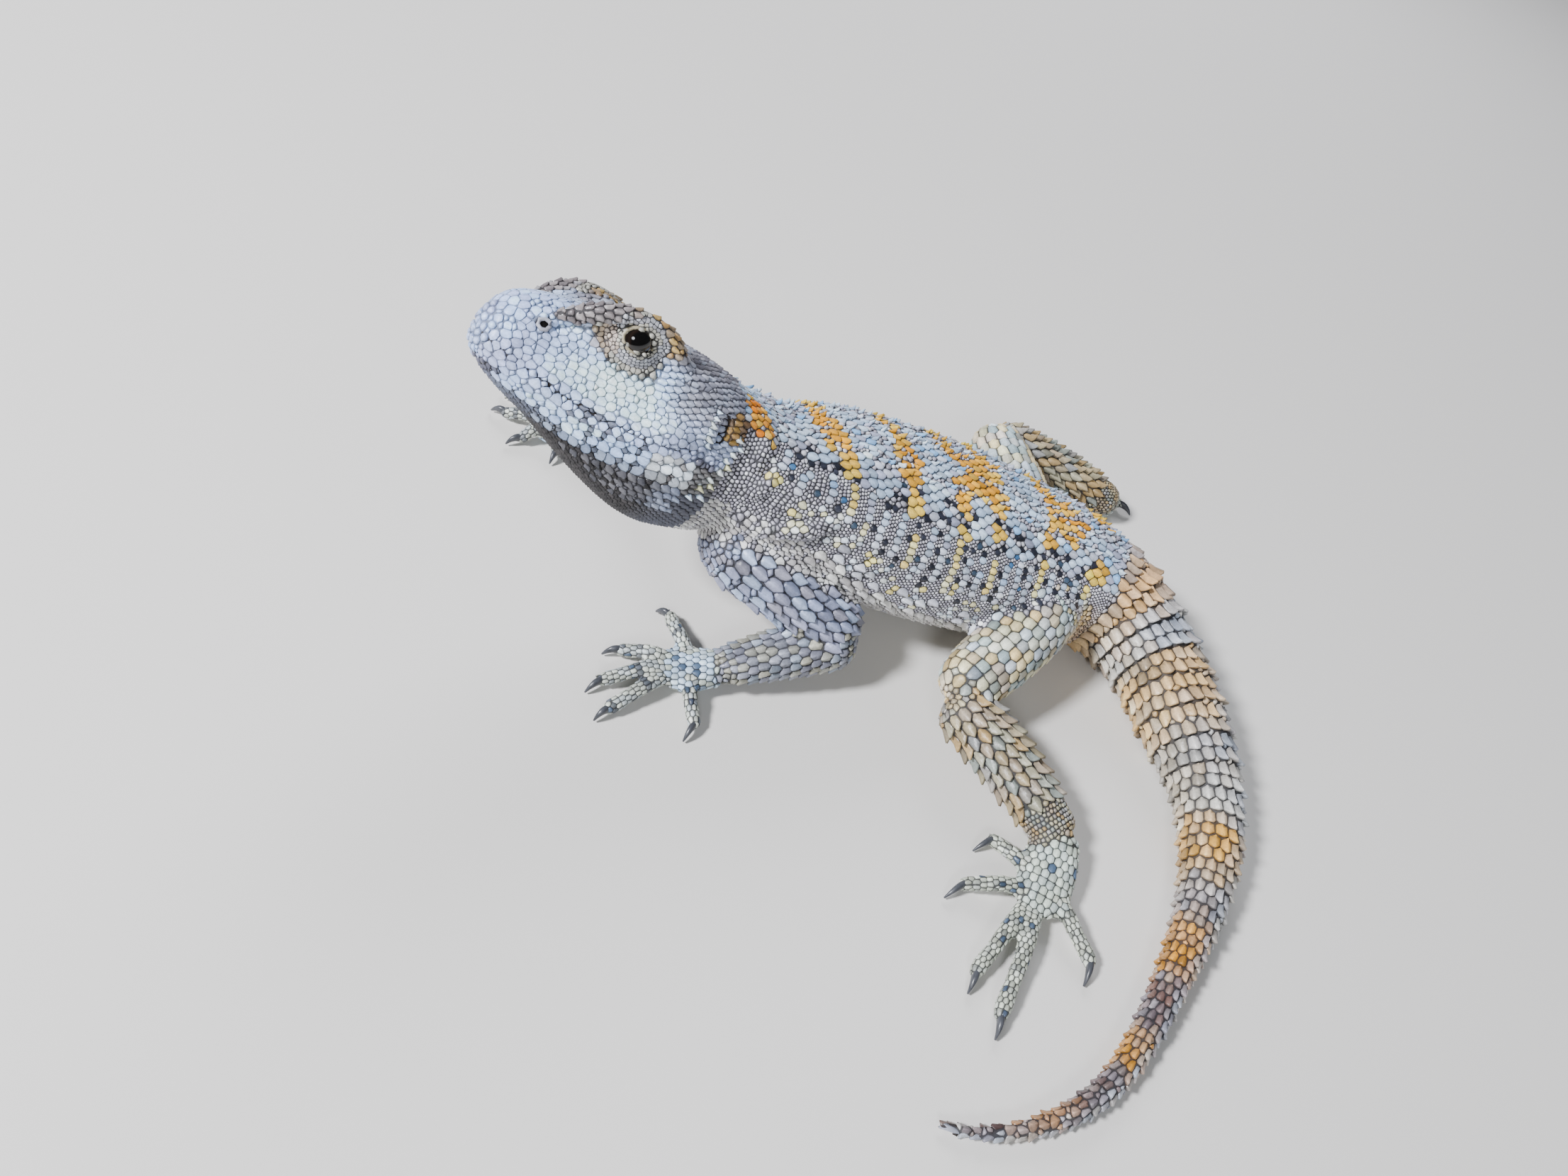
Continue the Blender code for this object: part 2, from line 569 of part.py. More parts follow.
LIMBS = {
    "arm_left": (
        [oval(-6, 13, 22, 6, 6, 6), oval(-10, 5, 19.5, 6.3, 6.3, 6.3),
         oval(1, -0.5, 15, 6.0, 5.7, 5.7), oval(14.6, -2.8, 9.6, 4.8, 4.5, 4.5)],
        [oval(14.8, -2.8, 8.6, 4.8, 4.6, 4.6), oval(3, -6.8, 6.6, 4.6, 4.1, 4.2),
         oval(-9.0, -10.9, 4.2, 3.3, 2.7, 2.9)],
        [oval(-7.0, -10.6, 4.2, 3.3, 2.7, 3.0), oval(-12.5, -10.8, 3.0, 4.4, 2.1, 3.0),
         oval(-18.4, -11.0, 2.0, 4.4, 1.5, 2.4)],
        [((-13.5, -8.2), (-17.3, 1.2), (-19.4, 2.4)), ((-17.0, -9.2), (-25.2, -8.3), (-28.1, -9.1)),
         ((-17.5, -11.0), (-27.7, -15.3), (-30.1, -17.6)),
         ((-16.8, -12.8), (-26.2, -20.8), (-28.1, -22.8)),
         ((-13.6, -13.2), (-11.8, -21.3), (-13.3, -24.3))],
    ),
    "arm_right": (
        [oval(-2, 20, 22, 6, 6, 6), oval(-7, 28, 19, 6.2, 6.2, 6.2),
         oval(-14, 34, 14.5, 5.6, 5.4, 5.4), oval(-23, 37.5, 8.6, 4.7, 4.5, 4.5)],
        [oval(-22, 37.2, 8.4, 4.7, 4.5, 4.5), oval(-29, 39.6, 6.2, 4.3, 4.0, 4.2),
         oval(-37.6, 41.3, 4.2, 3.3, 2.7, 2.9)],
        [oval(-35.6, 41.0, 4.2, 3.3, 2.7, 3.0), oval(-40.0, 41.8, 3.0, 4.4, 2.1, 3.0),
         oval(-45.4, 42.6, 2.0, 4.4, 1.5, 2.4)],
        [((-40.5, 39.4), (-41.0, 36.2), (-41.8, 33.6)), ((-44.0, 41.0), (-48.0, 38.2), (-50.6, 36.8)),
         ((-44.8, 42.6), (-51.8, 44.6), (-54.6, 45.6)), ((-44.0, 44.2), (-50.8, 49.8), (-53.2, 51.4)),
         ((-40.6, 45.0), (-43.0, 52.4), (-45.0, 54.4))],
    ),
    "leg_left": (
        [oval(56, 17, 12, 7, 7, 7), oval(50, 8, 12.4, 7.4, 7.2, 7.2),
         oval(41, -3.0, 11, 6.6, 6.4, 6.6), oval(31.6, -12.6, 9.4, 5.2, 5.2, 5.2)],
        [oval(31.8, -12.0, 8.8, 5.3, 5.0, 5.2), oval(41.2, -22.4, 7.2, 5.2, 4.7, 4.7),
         oval(50.8, -35.2, 4.6, 4.0, 3.6, 3.7)],
        [oval(50.2, -33.2, 4.6, 4.0, 3.6, 3.9), oval(48.4, -39.5, 3.4, 4.9, 2.8, 3.5),
         oval(44.8, -47.6, 2.2, 4.6, 1.7, 2.7)],
        [((45.0, -40.6), (39.6, -34.8), (36.0, -37.0)), ((43.0, -43.4), (33.4, -43.7), (29.9, -46.2)),
         ((43.2, -46.4), (33.6, -58.4), (32.2, -61.6)), ((45.0, -47.4), (36.8, -64.8), (35.8, -68.2)),
         ((48.2, -43.4), (53.6, -54.6), (52.2, -58.4))],
    ),
    "leg_right": (
        [oval(52, 22, 12, 7, 7, 7), oval(50, 32, 13, 7.4, 7.2, 7.2),
         oval(47.5, 43, 14.2, 6.6, 6.4, 6.4), oval(45.6, 54.5, 14.6, 5.2, 5.0, 5.0)],
        [oval(46.0, 53.4, 13.8, 5.1, 5.0, 5.0), oval(61.5, 54.0, 9.8, 4.7, 4.5, 4.6),
         oval(79.0, 52.2, 4.8, 3.6, 3.5, 3.7)],
        [oval(80.2, 51.8, 4.4, 3.7, 3.4, 3.9), oval(75.4, 55.5, 3.4, 4.4, 2.7, 3.5),
         oval(68.4, 59.6, 2.2, 4.6, 1.7, 2.7)],
        [((71.6, 56.8), (63.2, 57.4), (59.8, 57.0)), ((69.6, 58.6), (59.4, 61.2), (56.0, 61.2)),
         ((69.4, 60.2), (55.2, 65.6), (52.0, 66.4)), ((70.6, 61.4), (57.6, 70.8), (54.8, 72.8)),
         ((75.6, 58.4), (83.4, 56.4), (86.6, 54.4))],
    ),
}
LIMB_NAMES = {"arm": ("upper_arm", "forearm", "hand", "finger"), "leg": ("thigh", "shank", "foot", "toe")}
DIGIT_RADIUS = {"arm": 1.5, "leg": 1.55}
CLAW = 0.55  # half width of a claw at its base


def digit_loft(root, tip, claw, radius):
    """A digit that rises from the foot to a knuckle, lies on its pad and ends in a bent claw."""
    root, tip, claw = (np.array([*p, 0.0]) for p in (root, tip, claw))

    def at(point, height, wide, tall):
        return oval(*point[:2], height, wide, tall, tall)

    return Loft([
        at(root, 2.4, radius, radius * 0.9),
        at(root + (tip - root) * 0.34, radius + 1.5, radius * 1.05, radius),
        at(root + (tip - root) * 0.7, radius + 0.7, radius * 0.95, radius * 0.95),
        at(tip, radius - 0.1, radius * 0.85, radius * 0.9),
        at(tip + (claw - tip) * 0.22, radius + 0.1, CLAW, CLAW * 1.7),
        at(tip + (claw - tip) * 0.62, radius - 0.15, CLAW * 0.7, CLAW * 1.1),
        at(claw, 0.45, 0.22, 0.25),
    ])


def limb_scutes(rng, loft):
    """Scutes all round but the underside, and none over the rounded ends."""

    def form(s, angle):
        inside = loft.round_start < s < loft.length - loft.round_end
        if not inside or math.sin(angle) < -0.6:
            return None
        return LIMB_RISE * rng.uniform(0.7, 1.3), LIMB_LEAN

    return form


def make_limb(name, tables):
    kind, side = name.split("_")
    upper_name, lower_name, foot_name, digit_name = LIMB_NAMES[kind]
    rng = random.Random(SEED + len(name))
    upper = Loft(tables[0], 0.0, 4.5)
    lower = Loft(tables[1], 4.5, 2.0)
    foot = Loft(tables[2], 2.5, 3.0)
    sides = 10 if kind == "arm" else 11

    piece = loft_object(
        f"{upper_name}_{side}", upper, upper.stops(3.4), sides, twist=0.5, scute=limb_scutes(rng, upper)
    )
    body_from = TRUNK_START - 12 if kind == "arm" else SPINE.marks[5]
    cut(piece, [grown(SPINE, body_from, body_from + 62, 30, SCUTE_MOST, 3.0)])
    finish(piece, CREAM if kind == "leg" else LILAC_GREY)

    piece = loft_object(
        f"{lower_name}_{side}", lower, lower.stops(3.1), sides, twist=0.5, scute=limb_scutes(rng, lower)
    )
    cut(piece, [grown(upper, sides=18, more=SCUTE_MOST)])
    finish(piece, CREAM)

    piece = loft_object(f"{foot_name}_{side}", foot, foot.stops(2.5), 10)
    cut(piece, [grown(lower, sides=18, more=SCUTE_MOST)])
    finish(piece, CREAM)

    before = None
    for number, (root, tip, claw) in enumerate(tables[3], 1):
        digit = digit_loft(root, tip, claw, DIGIT_RADIUS[kind])
        piece = loft_object(f"{digit_name}_{side}_{number}", digit, digit.stops(2.5), 7)
        cutters = [grown(foot, sides=12), grown(lower, sides=12, more=SCUTE_MOST)]
        if before:
            cutters.append(grown(before, sides=8, spacing=2.4))
        cut(piece, cutters)
        finish(piece, CREAM)
        before = digit


make_head()
make_trunk()
make_tail()
for limb_name, limb_tables in LIMBS.items():
    make_limb(limb_name, limb_tables)


def centre_on_floor():
    """Moves every node so that the middle of the whole box's underside is the origin."""
    nodes = [obj for obj in bpy.context.scene.objects if obj.type == "MESH"]
    corners = np.array([v.co for obj in nodes for v in obj.data.vertices])
    low, high = corners.min(axis=0), corners.max(axis=0)
    shift = [(low[0] + high[0]) / 2, (low[1] + high[1]) / 2, low[2]]
    print("moved by", [round(-v / MM, 3) for v in shift], "mm")
    for obj in nodes:
        for v in obj.data.vertices:
            for axis in range(3):
                v.co[axis] -= shift[axis]


centre_on_floor()
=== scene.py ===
# %% [markdown]
# A clown agama at rest
#
# The model is a small desert lizard, life size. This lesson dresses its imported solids: one skin is
# grown over the body from the same tables of sections, then nearly sixteen thousand scales are set
# on it. Each scale is a small closed mesh cut to its own cell between its neighbours, because that
# is how a lizard's hide is laid: every scale ends where the next one begins.

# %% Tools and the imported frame
import math

import bmesh
import bpy
import numpy as np
from mathutils import Matrix, Vector
from mathutils.bvhtree import BVHTree
from mathutils.kdtree import KDTree


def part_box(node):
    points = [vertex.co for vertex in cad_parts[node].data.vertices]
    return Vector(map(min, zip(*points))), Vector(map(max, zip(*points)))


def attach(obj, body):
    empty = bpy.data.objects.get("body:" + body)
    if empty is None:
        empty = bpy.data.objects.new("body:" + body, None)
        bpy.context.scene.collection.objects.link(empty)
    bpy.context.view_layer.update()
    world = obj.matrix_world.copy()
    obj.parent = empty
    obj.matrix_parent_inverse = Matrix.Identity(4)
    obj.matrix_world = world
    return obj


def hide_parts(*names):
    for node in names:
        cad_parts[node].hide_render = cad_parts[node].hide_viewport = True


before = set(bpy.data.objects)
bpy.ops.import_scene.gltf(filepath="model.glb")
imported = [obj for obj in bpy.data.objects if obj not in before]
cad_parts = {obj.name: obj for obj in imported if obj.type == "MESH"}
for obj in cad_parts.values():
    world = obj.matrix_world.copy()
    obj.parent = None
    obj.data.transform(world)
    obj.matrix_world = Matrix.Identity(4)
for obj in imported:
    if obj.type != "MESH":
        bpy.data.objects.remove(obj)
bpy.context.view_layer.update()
MM = 0.001  # tables below are in millimetres
rng = np.random.default_rng(11)

# %% [markdown]
# Sections along a line
#
# A lizard is a set of tapering tubes. Each one is a table of oval sections, and a smooth cubic runs
# through them, so a place on the body is just a length along the line and an angle round it.


# %% Lofts
PLAIN_OVAL = 2.2  # squareness of a section that is all but elliptic


def unit(v):
    """Vectors of the same directions with a length of one."""
    v = np.asarray(v, float)
    return v / np.maximum(np.linalg.norm(v, axis=-1, keepdims=True), 1e-9)


def turned(forward, roll):
    """Left and up directions across a line that runs forward, rolled left side up."""
    up = unit(np.array([0.0, 0.0, 1.0]) - forward[..., 2:] * forward)
    left = np.cross(forward, up)
    c, s = np.cos(roll)[..., None], np.sin(roll)[..., None]
    return left * c + up * s, up * c - left * s


class Loft:
    """Oval sections: x, y, z, half width, height above, depth below, squareness, roll."""

    def __init__(self, stations, round_start=0.0, round_end=0.0):
        self.rows = np.array(stations, float)
        steps = np.linalg.norm(np.diff(self.rows[:, :3], axis=0), axis=1)
        self.marks = np.concatenate([[0.0], np.cumsum(steps)])
        self.slopes = np.gradient(self.rows, self.marks, axis=0)
        self.length = self.marks[-1]
        self.round_start, self.round_end = round_start, round_end

    def values(self, s):
        """The section at length s, and how fast it changes there."""
        s = np.clip(s, 0.0, self.length)
        i = np.clip(np.searchsorted(self.marks, s, side="right") - 1, 0, len(self.marks) - 2)
        h = (self.marks[i + 1] - self.marks[i])[..., None]
        t = (s - self.marks[i])[..., None] / h
        a, b = self.rows[i], self.rows[i + 1]
        ma, mb = self.slopes[i] * h, self.slopes[i + 1] * h
        value = (
            (2 * t**3 - 3 * t**2 + 1) * a
            + (t**3 - 2 * t**2 + t) * ma
            + (3 * t**2 - 2 * t**3) * b
            + (t**3 - t**2) * mb
        )
        rate = (
            6 * (t**2 - t) * (a - b) + (3 * t**2 - 4 * t + 1) * ma + (3 * t**2 - 2 * t) * mb
        ) / h
        return value, rate

    def points(self, s, angle, rise=0.0):
        """Places on the surface at length s and angle from the left side, raised outwards."""
        s, angle = np.broadcast_arrays(np.asarray(s, float), np.asarray(angle, float))
        value, rate = self.values(s)
        left, up = turned(unit(rate[..., :3]), np.radians(value[..., 7]))
        size = np.ones_like(s)
        for reach, inside in ((self.round_start, s), (self.round_end, self.length - s)):
            if reach:
                size = size * np.sqrt(1 - np.clip(1 - inside / reach, 0.0, 0.98) ** 2)
        c, n = np.cos(angle), np.sin(angle)
        power = 2 / np.where(n > 0, value[..., 6], PLAIN_OVAL)
        wide = value[..., 3] * size + rise
        high = np.where(n > 0, value[..., 4], value[..., 5]) * size + rise
        across = np.sign(c) * np.abs(c) ** power * wide
        upward = np.sign(n) * np.abs(n) ** power * high
        return value[..., :3] + left * across[..., None] + up * upward[..., None]

    def backwards(self, s):
        """The direction of the line, which runs towards the animal's rear."""
        return unit(self.values(np.asarray(s, float))[1][..., :3])


# %% [markdown]
# The tables
#
# These are the same named sizes as in the solids. The head has a straight axis of its own, raised
# and turned to the animal's left. The spine's table runs from the neck to the tip of the tail.

# %% Head
SNOUT = (-55.8, 4.4, 50.6)
HEAD_YAW, HEAD_PITCH, HEAD_ROLL = 14.0, 21.5, 28.0
HEAD_LENGTH = 41.5
yaw, pitch, roll = (math.radians(v) for v in (HEAD_YAW, HEAD_PITCH, HEAD_ROLL))
HEAD_BACK = np.array(
    [math.cos(yaw) * math.cos(pitch), math.sin(yaw) * math.cos(pitch), -math.sin(pitch)]
)
HEAD_LEFT, HEAD_UP = turned(HEAD_BACK, np.array(roll))


def in_head(back, left, up):
    """A place from its distance behind the snout, to the left and above the head's axis."""
    back, left, up = (np.asarray(v, float)[..., None] for v in (back, left, up))
    return np.array(SNOUT) + HEAD_BACK * back + HEAD_LEFT * left + HEAD_UP * up


def from_head(places):
    """The reverse: behind, left and up of places."""
    away = places - np.array(SNOUT)
    return away @ HEAD_BACK, away @ HEAD_LEFT, away @ HEAD_UP


def head_station(back, half_width, above, below, square):
    """A section of the head, square to its axis."""
    return (*in_head(back, 0, 0), half_width, above, below, square, HEAD_ROLL)


# Distance behind the snout, half width, height above the axis, depth below it, squareness
HEAD_SECTIONS = [
    (0.0, 2.4, 3.6, 1.6, 2.2), (0.8, 3.7, 5.4, 2.7, 2.2), (2.0, 4.5, 7.0, 3.7, 2.3),
    (4.0, 5.4, 8.4, 5.0, 2.4), (7.0, 6.3, 9.2, 6.6, 2.6), (11.0, 7.3, 9.8, 8.4, 3.0),
    (15.0, 8.4, 10.3, 10.6, 3.2), (19.0, 9.5, 10.6, 12.8, 3.2), (23.0, 10.6, 10.6, 14.8, 3.0),
    (27.0, 11.8, 10.4, 16.6, 2.8), (31.0, 12.6, 10.2, 18.0, 2.6), (35.0, 12.8, 9.8, 18.6, 2.5),
    (39.0, 12.2, 9.0, 18.3, 2.5), (HEAD_LENGTH, 11.8, 8.4, 18.0, 2.5),
]
HEAD_STATIONS = [head_station(*section) for section in HEAD_SECTIONS]
MOUTH_LINE = [(0, 0.5), (3.5, -0.5), (8.5, -1.9), (13.4, -3.1), (18.6, -3.9), (25.1, -4.1), (32.5, -3.5)]
EYE, EYE_RADIUS = (19.3, 7.3, 8.5), 3.1
LID_CENTRE, LID_RADIUS = (19.5, 6.5, 7.6), 4.4
LID_OPENING = (2.55, 1.95)
BROW = [(7.8, 5.5, 7.2), (12.8, 7.7, 10.0), (18.5, 9.1, 11.5), (23.2, 9.3, 10.7), (27.0, 9.4, 8.9)]
BROW_RADIUS, BROW_OUT = 1.35, 0.3
# The brow stands on a root of flesh: the line of the brow run on at both ends, and its share of the
# brow's distance from the middle, how far it lies below the brow, and its radius
BROW_ROOT = [(8.4, 5.2, 7.4), *BROW[1:], (30.0, 9.2, 8.2)]
BROW_FILLS = [(0.92, 0.9, 1.4), (0.8, 1.6, 1.8), (0.62, 2.4, 2.2)]
NOSTRIL, NOSTRIL_RING, NOSTRIL_DROP = (6.7, 5.3, 5.7), 1.25, 0.4
# Creases of the face, as (behind, height) places on the head's side, with their depth and half width
CREASES = [
    (MOUTH_LINE[1:], 0.38, 0.55),
    ([(8.6, 5.6), (12.6, 7.6), (15.6, 9.2), (17.5, 10.2)], 0.6, 0.8),
    ([(14.6, 7.6), (15.6, 5.4), (17.6, 3.7), (20.6, 2.9), (23.4, 4.4), (25.0, 7.2)], 0.4, 0.8),
    ([(26.5, -8.5), (31.5, -6.5), (35.0, -3.5), (36.0, -1.0)], 0.5, 1.0),
]
EAR, EAR_HALF, EAR_CUP = (36.6, 12.2, 1.3), (1.15, 2.0, 2.6), 1.9  # the cup's depth comes last
print("head sections:", len(HEAD_STATIONS), "length:", HEAD_LENGTH, "mm")

# %% Spine
SPINE_STATIONS = [
    head_station(HEAD_LENGTH - 3.0, 12.3, 9.1, 18.4, 2.5),
    head_station(HEAD_LENGTH, 11.8, 8.4, 18.0, 2.5),
    (*in_head(46.5, 0, 0), 12.0, 7.6, 17.2, 2.4, 25),
    (-5.5, 14.6, 29.6, 15.2, 9.0, 16.0, 2.3, 16),
    (5.0, 16.6, 25.0, 18.4, 11.9, 15.6, 2.2, 8),
    (18.0, 18.6, 19.8, 20.0, 13.8, 15.0, 2.2, 4),
    (33.0, 20.4, 16.0, 20.0, 13.8, 13.8, 2.2, 2),
    (46.0, 21.2, 13.6, 17.2, 12.6, 14.0, 2.2, 0),
    (58.0, 20.2, 11.8, 14.4, 11.6, 13.0, 2.2, 0),
    (67.5, 17.0, 10.2, 11.2, 9.9, 11.2, 2.2, 0),
    (75.3, 6.5, 8.2, 8.8, 8.2, 8.6, 2.2, 0),
    (79.0, -7.4, 7.3, 7.8, 7.2, 7.6, 2.2, 0),
    (81.3, -21.4, 5.6, 6.0, 5.6, 5.9, 2.2, 0),
    (79.7, -32.2, 4.7, 5.1, 4.6, 5.0, 2.2, 0),
    (75.7, -42.3, 3.8, 4.1, 3.7, 4.1, 2.2, 0),
    (67.8, -55.2, 2.8, 2.9, 2.7, 3.1, 2.2, 0),
    (58.9, -67.2, 2.3, 2.3, 2.2, 2.6, 2.2, 0),
    (54.3, -72.2, 2.1, 2.1, 2.0, 2.4, 2.2, 0),
    (48.0, -76.8, 1.85, 1.85, 1.75, 2.1, 2.2, 0),
    (39.7, -80.2, 1.55, 1.5, 1.4, 1.8, 2.2, 0),
    (32.1, -81.4, 1.3, 1.2, 1.1, 1.5, 2.2, 0),
    (24.5, -80.6, 1.0, 0.8, 0.8, 1.2, 2.2, 0),
]


# %% Limbs
# Upper part, lower part and foot as sections, then the root, tip and claw of each digit on the floor
def oval(x, y, z, half_width, above, below):
    """A section that isn't rolled."""
    return (x, y, z, half_width, above, below, PLAIN_OVAL, 0.0)


LIMBS = {
    "arm_left": (
        [oval(-6, 13, 22, 6, 6, 6), oval(-10, 5, 19.5, 6.3, 6.3, 6.3),
         oval(1, -0.5, 15, 6.0, 5.7, 5.7), oval(14.6, -2.8, 9.6, 4.8, 4.5, 4.5)],
        [oval(14.8, -2.8, 8.6, 4.8, 4.6, 4.6), oval(3, -6.8, 6.6, 4.6, 4.1, 4.2),
         oval(-9.0, -10.9, 4.2, 3.3, 2.7, 2.9)],
        [oval(-7.0, -10.6, 4.2, 3.3, 2.7, 3.0), oval(-12.5, -10.8, 3.0, 4.4, 2.1, 3.0),
         oval(-18.4, -11.0, 2.0, 4.4, 1.5, 2.4)],
        [((-13.5, -8.2), (-17.3, 1.2), (-19.4, 2.4)), ((-17.0, -9.2), (-25.2, -8.3), (-28.1, -9.1)),
         ((-17.5, -11.0), (-27.7, -15.3), (-30.1, -17.6)),
         ((-16.8, -12.8), (-26.2, -20.8), (-28.1, -22.8)),
         ((-13.6, -13.2), (-11.8, -21.3), (-13.3, -24.3))],
    ),
    "arm_right": (
        [oval(-2, 20, 22, 6, 6, 6), oval(-7, 28, 19, 6.2, 6.2, 6.2),
         oval(-14, 34, 14.5, 5.6, 5.4, 5.4), oval(-23, 37.5, 8.6, 4.7, 4.5, 4.5)],
        [oval(-22, 37.2, 8.4, 4.7, 4.5, 4.5), oval(-29, 39.6, 6.2, 4.3, 4.0, 4.2),
         oval(-37.6, 41.3, 4.2, 3.3, 2.7, 2.9)],
        [oval(-35.6, 41.0, 4.2, 3.3, 2.7, 3.0), oval(-40.0, 41.8, 3.0, 4.4, 2.1, 3.0),
         oval(-45.4, 42.6, 2.0, 4.4, 1.5, 2.4)],
        [((-40.5, 39.4), (-41.0, 36.2), (-41.8, 33.6)), ((-44.0, 41.0), (-48.0, 38.2), (-50.6, 36.8)),
         ((-44.8, 42.6), (-51.8, 44.6), (-54.6, 45.6)), ((-44.0, 44.2), (-50.8, 49.8), (-53.2, 51.4)),
         ((-40.6, 45.0), (-43.0, 52.4), (-45.0, 54.4))],
    ),
    "leg_left": (
        [oval(56, 17, 12, 7, 7, 7), oval(50, 8, 12.4, 7.4, 7.2, 7.2),
         oval(41, -3.0, 11, 6.6, 6.4, 6.6), oval(31.6, -12.6, 9.4, 5.2, 5.2, 5.2)],
        [oval(31.8, -12.0, 8.8, 5.3, 5.0, 5.2), oval(41.2, -22.4, 7.2, 5.2, 4.7, 4.7),
         oval(50.8, -35.2, 4.6, 4.0, 3.6, 3.7)],
        [oval(50.2, -33.2, 4.6, 4.0, 3.6, 3.9), oval(48.4, -39.5, 3.4, 4.9, 2.8, 3.5),
         oval(44.8, -47.6, 2.2, 4.6, 1.7, 2.7)],
        [((45.0, -40.6), (39.6, -34.8), (36.0, -37.0)), ((43.0, -43.4), (33.4, -43.7), (29.9, -46.2)),
         ((43.2, -46.4), (33.6, -58.4), (32.2, -61.6)), ((45.0, -47.4), (36.8, -64.8), (35.8, -68.2)),
         ((48.2, -43.4), (53.6, -54.6), (52.2, -58.4))],
    ),
    "leg_right": (
        [oval(52, 22, 12, 7, 7, 7), oval(50, 32, 13, 7.4, 7.2, 7.2),
         oval(47.5, 43, 14.2, 6.6, 6.4, 6.4), oval(45.6, 54.5, 14.6, 5.2, 5.0, 5.0)],
        [oval(46.0, 53.4, 13.8, 5.1, 5.0, 5.0), oval(61.5, 54.0, 9.8, 4.7, 4.5, 4.6),
         oval(79.0, 52.2, 4.8, 3.6, 3.5, 3.7)],
        [oval(80.2, 51.8, 4.4, 3.7, 3.4, 3.9), oval(75.4, 55.5, 3.4, 4.4, 2.7, 3.5),
         oval(68.4, 59.6, 2.2, 4.6, 1.7, 2.7)],
        [((71.6, 56.8), (63.2, 57.4), (59.8, 57.0)), ((69.6, 58.6), (59.4, 61.2), (56.0, 61.2)),
         ((69.4, 60.2), (55.2, 65.6), (52.0, 66.4)), ((70.6, 61.4), (57.6, 70.8), (54.8, 72.8)),
         ((75.6, 58.4), (83.4, 56.4), (86.6, 54.4))],
    ),
}

# %% Digits and lofts
DIGIT_RADIUS = {"arm": 1.42, "leg": 1.45}
CLAW = 0.55  # half width of a claw at its root


def digit_lofts(root, tip, claw, radius):
    """A toe that rises to a knuckle and lies on its pad, and the bent claw at its end."""
    root, tip, claw = (np.array([*p, 0.0]) for p in (root, tip, claw))

    def at(point, height, wide, tall):
        return oval(*point[:2], height, wide, tall, tall)

    toe = Loft([
        at(root, 2.4, radius, radius * 0.9),
        at(root + (tip - root) * 0.34, radius + 1.5, radius * 1.05, radius),
        at(root + (tip - root) * 0.7, radius + 0.7, radius * 0.95, radius * 0.95),
        at(tip, radius - 0.1, radius * 0.88, radius * 0.92),
        at(tip + (claw - tip) * 0.36, radius - 0.1, radius * 0.56, radius * 0.6),
    ], 0.0, 1.2)
    nail = Loft([
        at(tip - (claw - tip) * 0.15, radius - 0.1, CLAW * 1.05, CLAW * 1.55),
        at(tip + (claw - tip) * 0.3, radius + 0.2, CLAW * 1.0, CLAW * 1.4),
        at(tip + (claw - tip) * 0.6, radius - 0.15, CLAW * 0.72, CLAW * 0.95),
        at(tip + (claw - tip) * 0.92, 0.4, 0.14, 0.18),
    ])
    return toe, nail


lofts = {"spine": Loft(SPINE_STATIONS, 0.0, 2.0), "head": Loft(HEAD_STATIONS)}
nails = []
for limb, (upper, lower, foot, digits) in LIMBS.items():
    lofts[limb + "_upper"] = Loft(upper, 0.0, 4.5)
    lofts[limb + "_lower"] = Loft(lower, 4.5, 2.0)
    lofts[limb + "_foot"] = Loft(foot, 2.5, 3.0)
    for number, (root, tip, claw) in enumerate(digits, 1):
        toe, nail = digit_lofts(root, tip, claw, DIGIT_RADIUS[limb[:3]])
        lofts[f"{limb}_digit_{number}"] = toe
        nails.append(nail)
SPINE, HEAD = lofts["spine"], lofts["head"]
NECK_END, TRUNK_END = SPINE.marks[3] - 3.0, SPINE.marks[9] - 3.5  # a little ahead of these sections

# The tables' own frame is shifted to the solids' frame, found from where the left eye is
eye_low, eye_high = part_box("eye_left")
SHIFT = np.array((eye_low + eye_high) / 2) / MM - in_head(*EYE)
print("lofts:", len(lofts), "shift:", SHIFT.round(3), "mm")

# %% [markdown]
# Growing the skin
#
# Every tube is extruded ring by ring from a circle. They are left crossing one another, with round
# forms added for the lids, brows and folds, and a voxel remesh then joins all of them into one
# closed surface, as wax would. A little smoothing takes away the steps that voxels leave.

# %% Tubes from rings
SKIN_DEPTH = 0.3  # the skin lies this far inside the solids, and the scales bring it back
CAP_RINGS = np.array([0, 0.15, 0.5, 0.9])  # where rings stand in a rounded end, as shares of it


def tube(bm, loft, spacing, sides, rise=0.0):
    """Extrudes a circle from ring to ring along a loft."""
    around = bm.verts.layers.int.get("around") or bm.verts.layers.int.new("around")
    at = np.linspace(0.0, loft.length, max(3, round(loft.length / spacing) + 1))
    extra = [CAP_RINGS * loft.round_start, loft.length - CAP_RINGS * loft.round_end]
    at = np.unique(np.concatenate([at, *extra]).round(3))
    angles = np.arange(sides) * math.tau / sides
    rows = loft.points(at[:, None], angles[None, :], rise)
    ring = bmesh.ops.create_circle(bm, cap_ends=False, segments=sides, radius=1.0)["verts"]
    for k, v in enumerate(ring):
        v[around] = k
        v.co = rows[0][k]
    edges = list({e for v in ring for e in v.link_edges})
    ends = list(edges)
    for row in rows[1:]:
        made = bmesh.ops.extrude_edge_only(bm, edges=edges)["geom"]
        new = {g for g in made if isinstance(g, bmesh.types.BMVert)}
        for v in new:
            v.co = row[v[around]]
        edges = [g for g in made if isinstance(g, bmesh.types.BMEdge) and set(g.verts) <= new]
    bmesh.ops.holes_fill(bm, edges=ends + edges, sides=0)


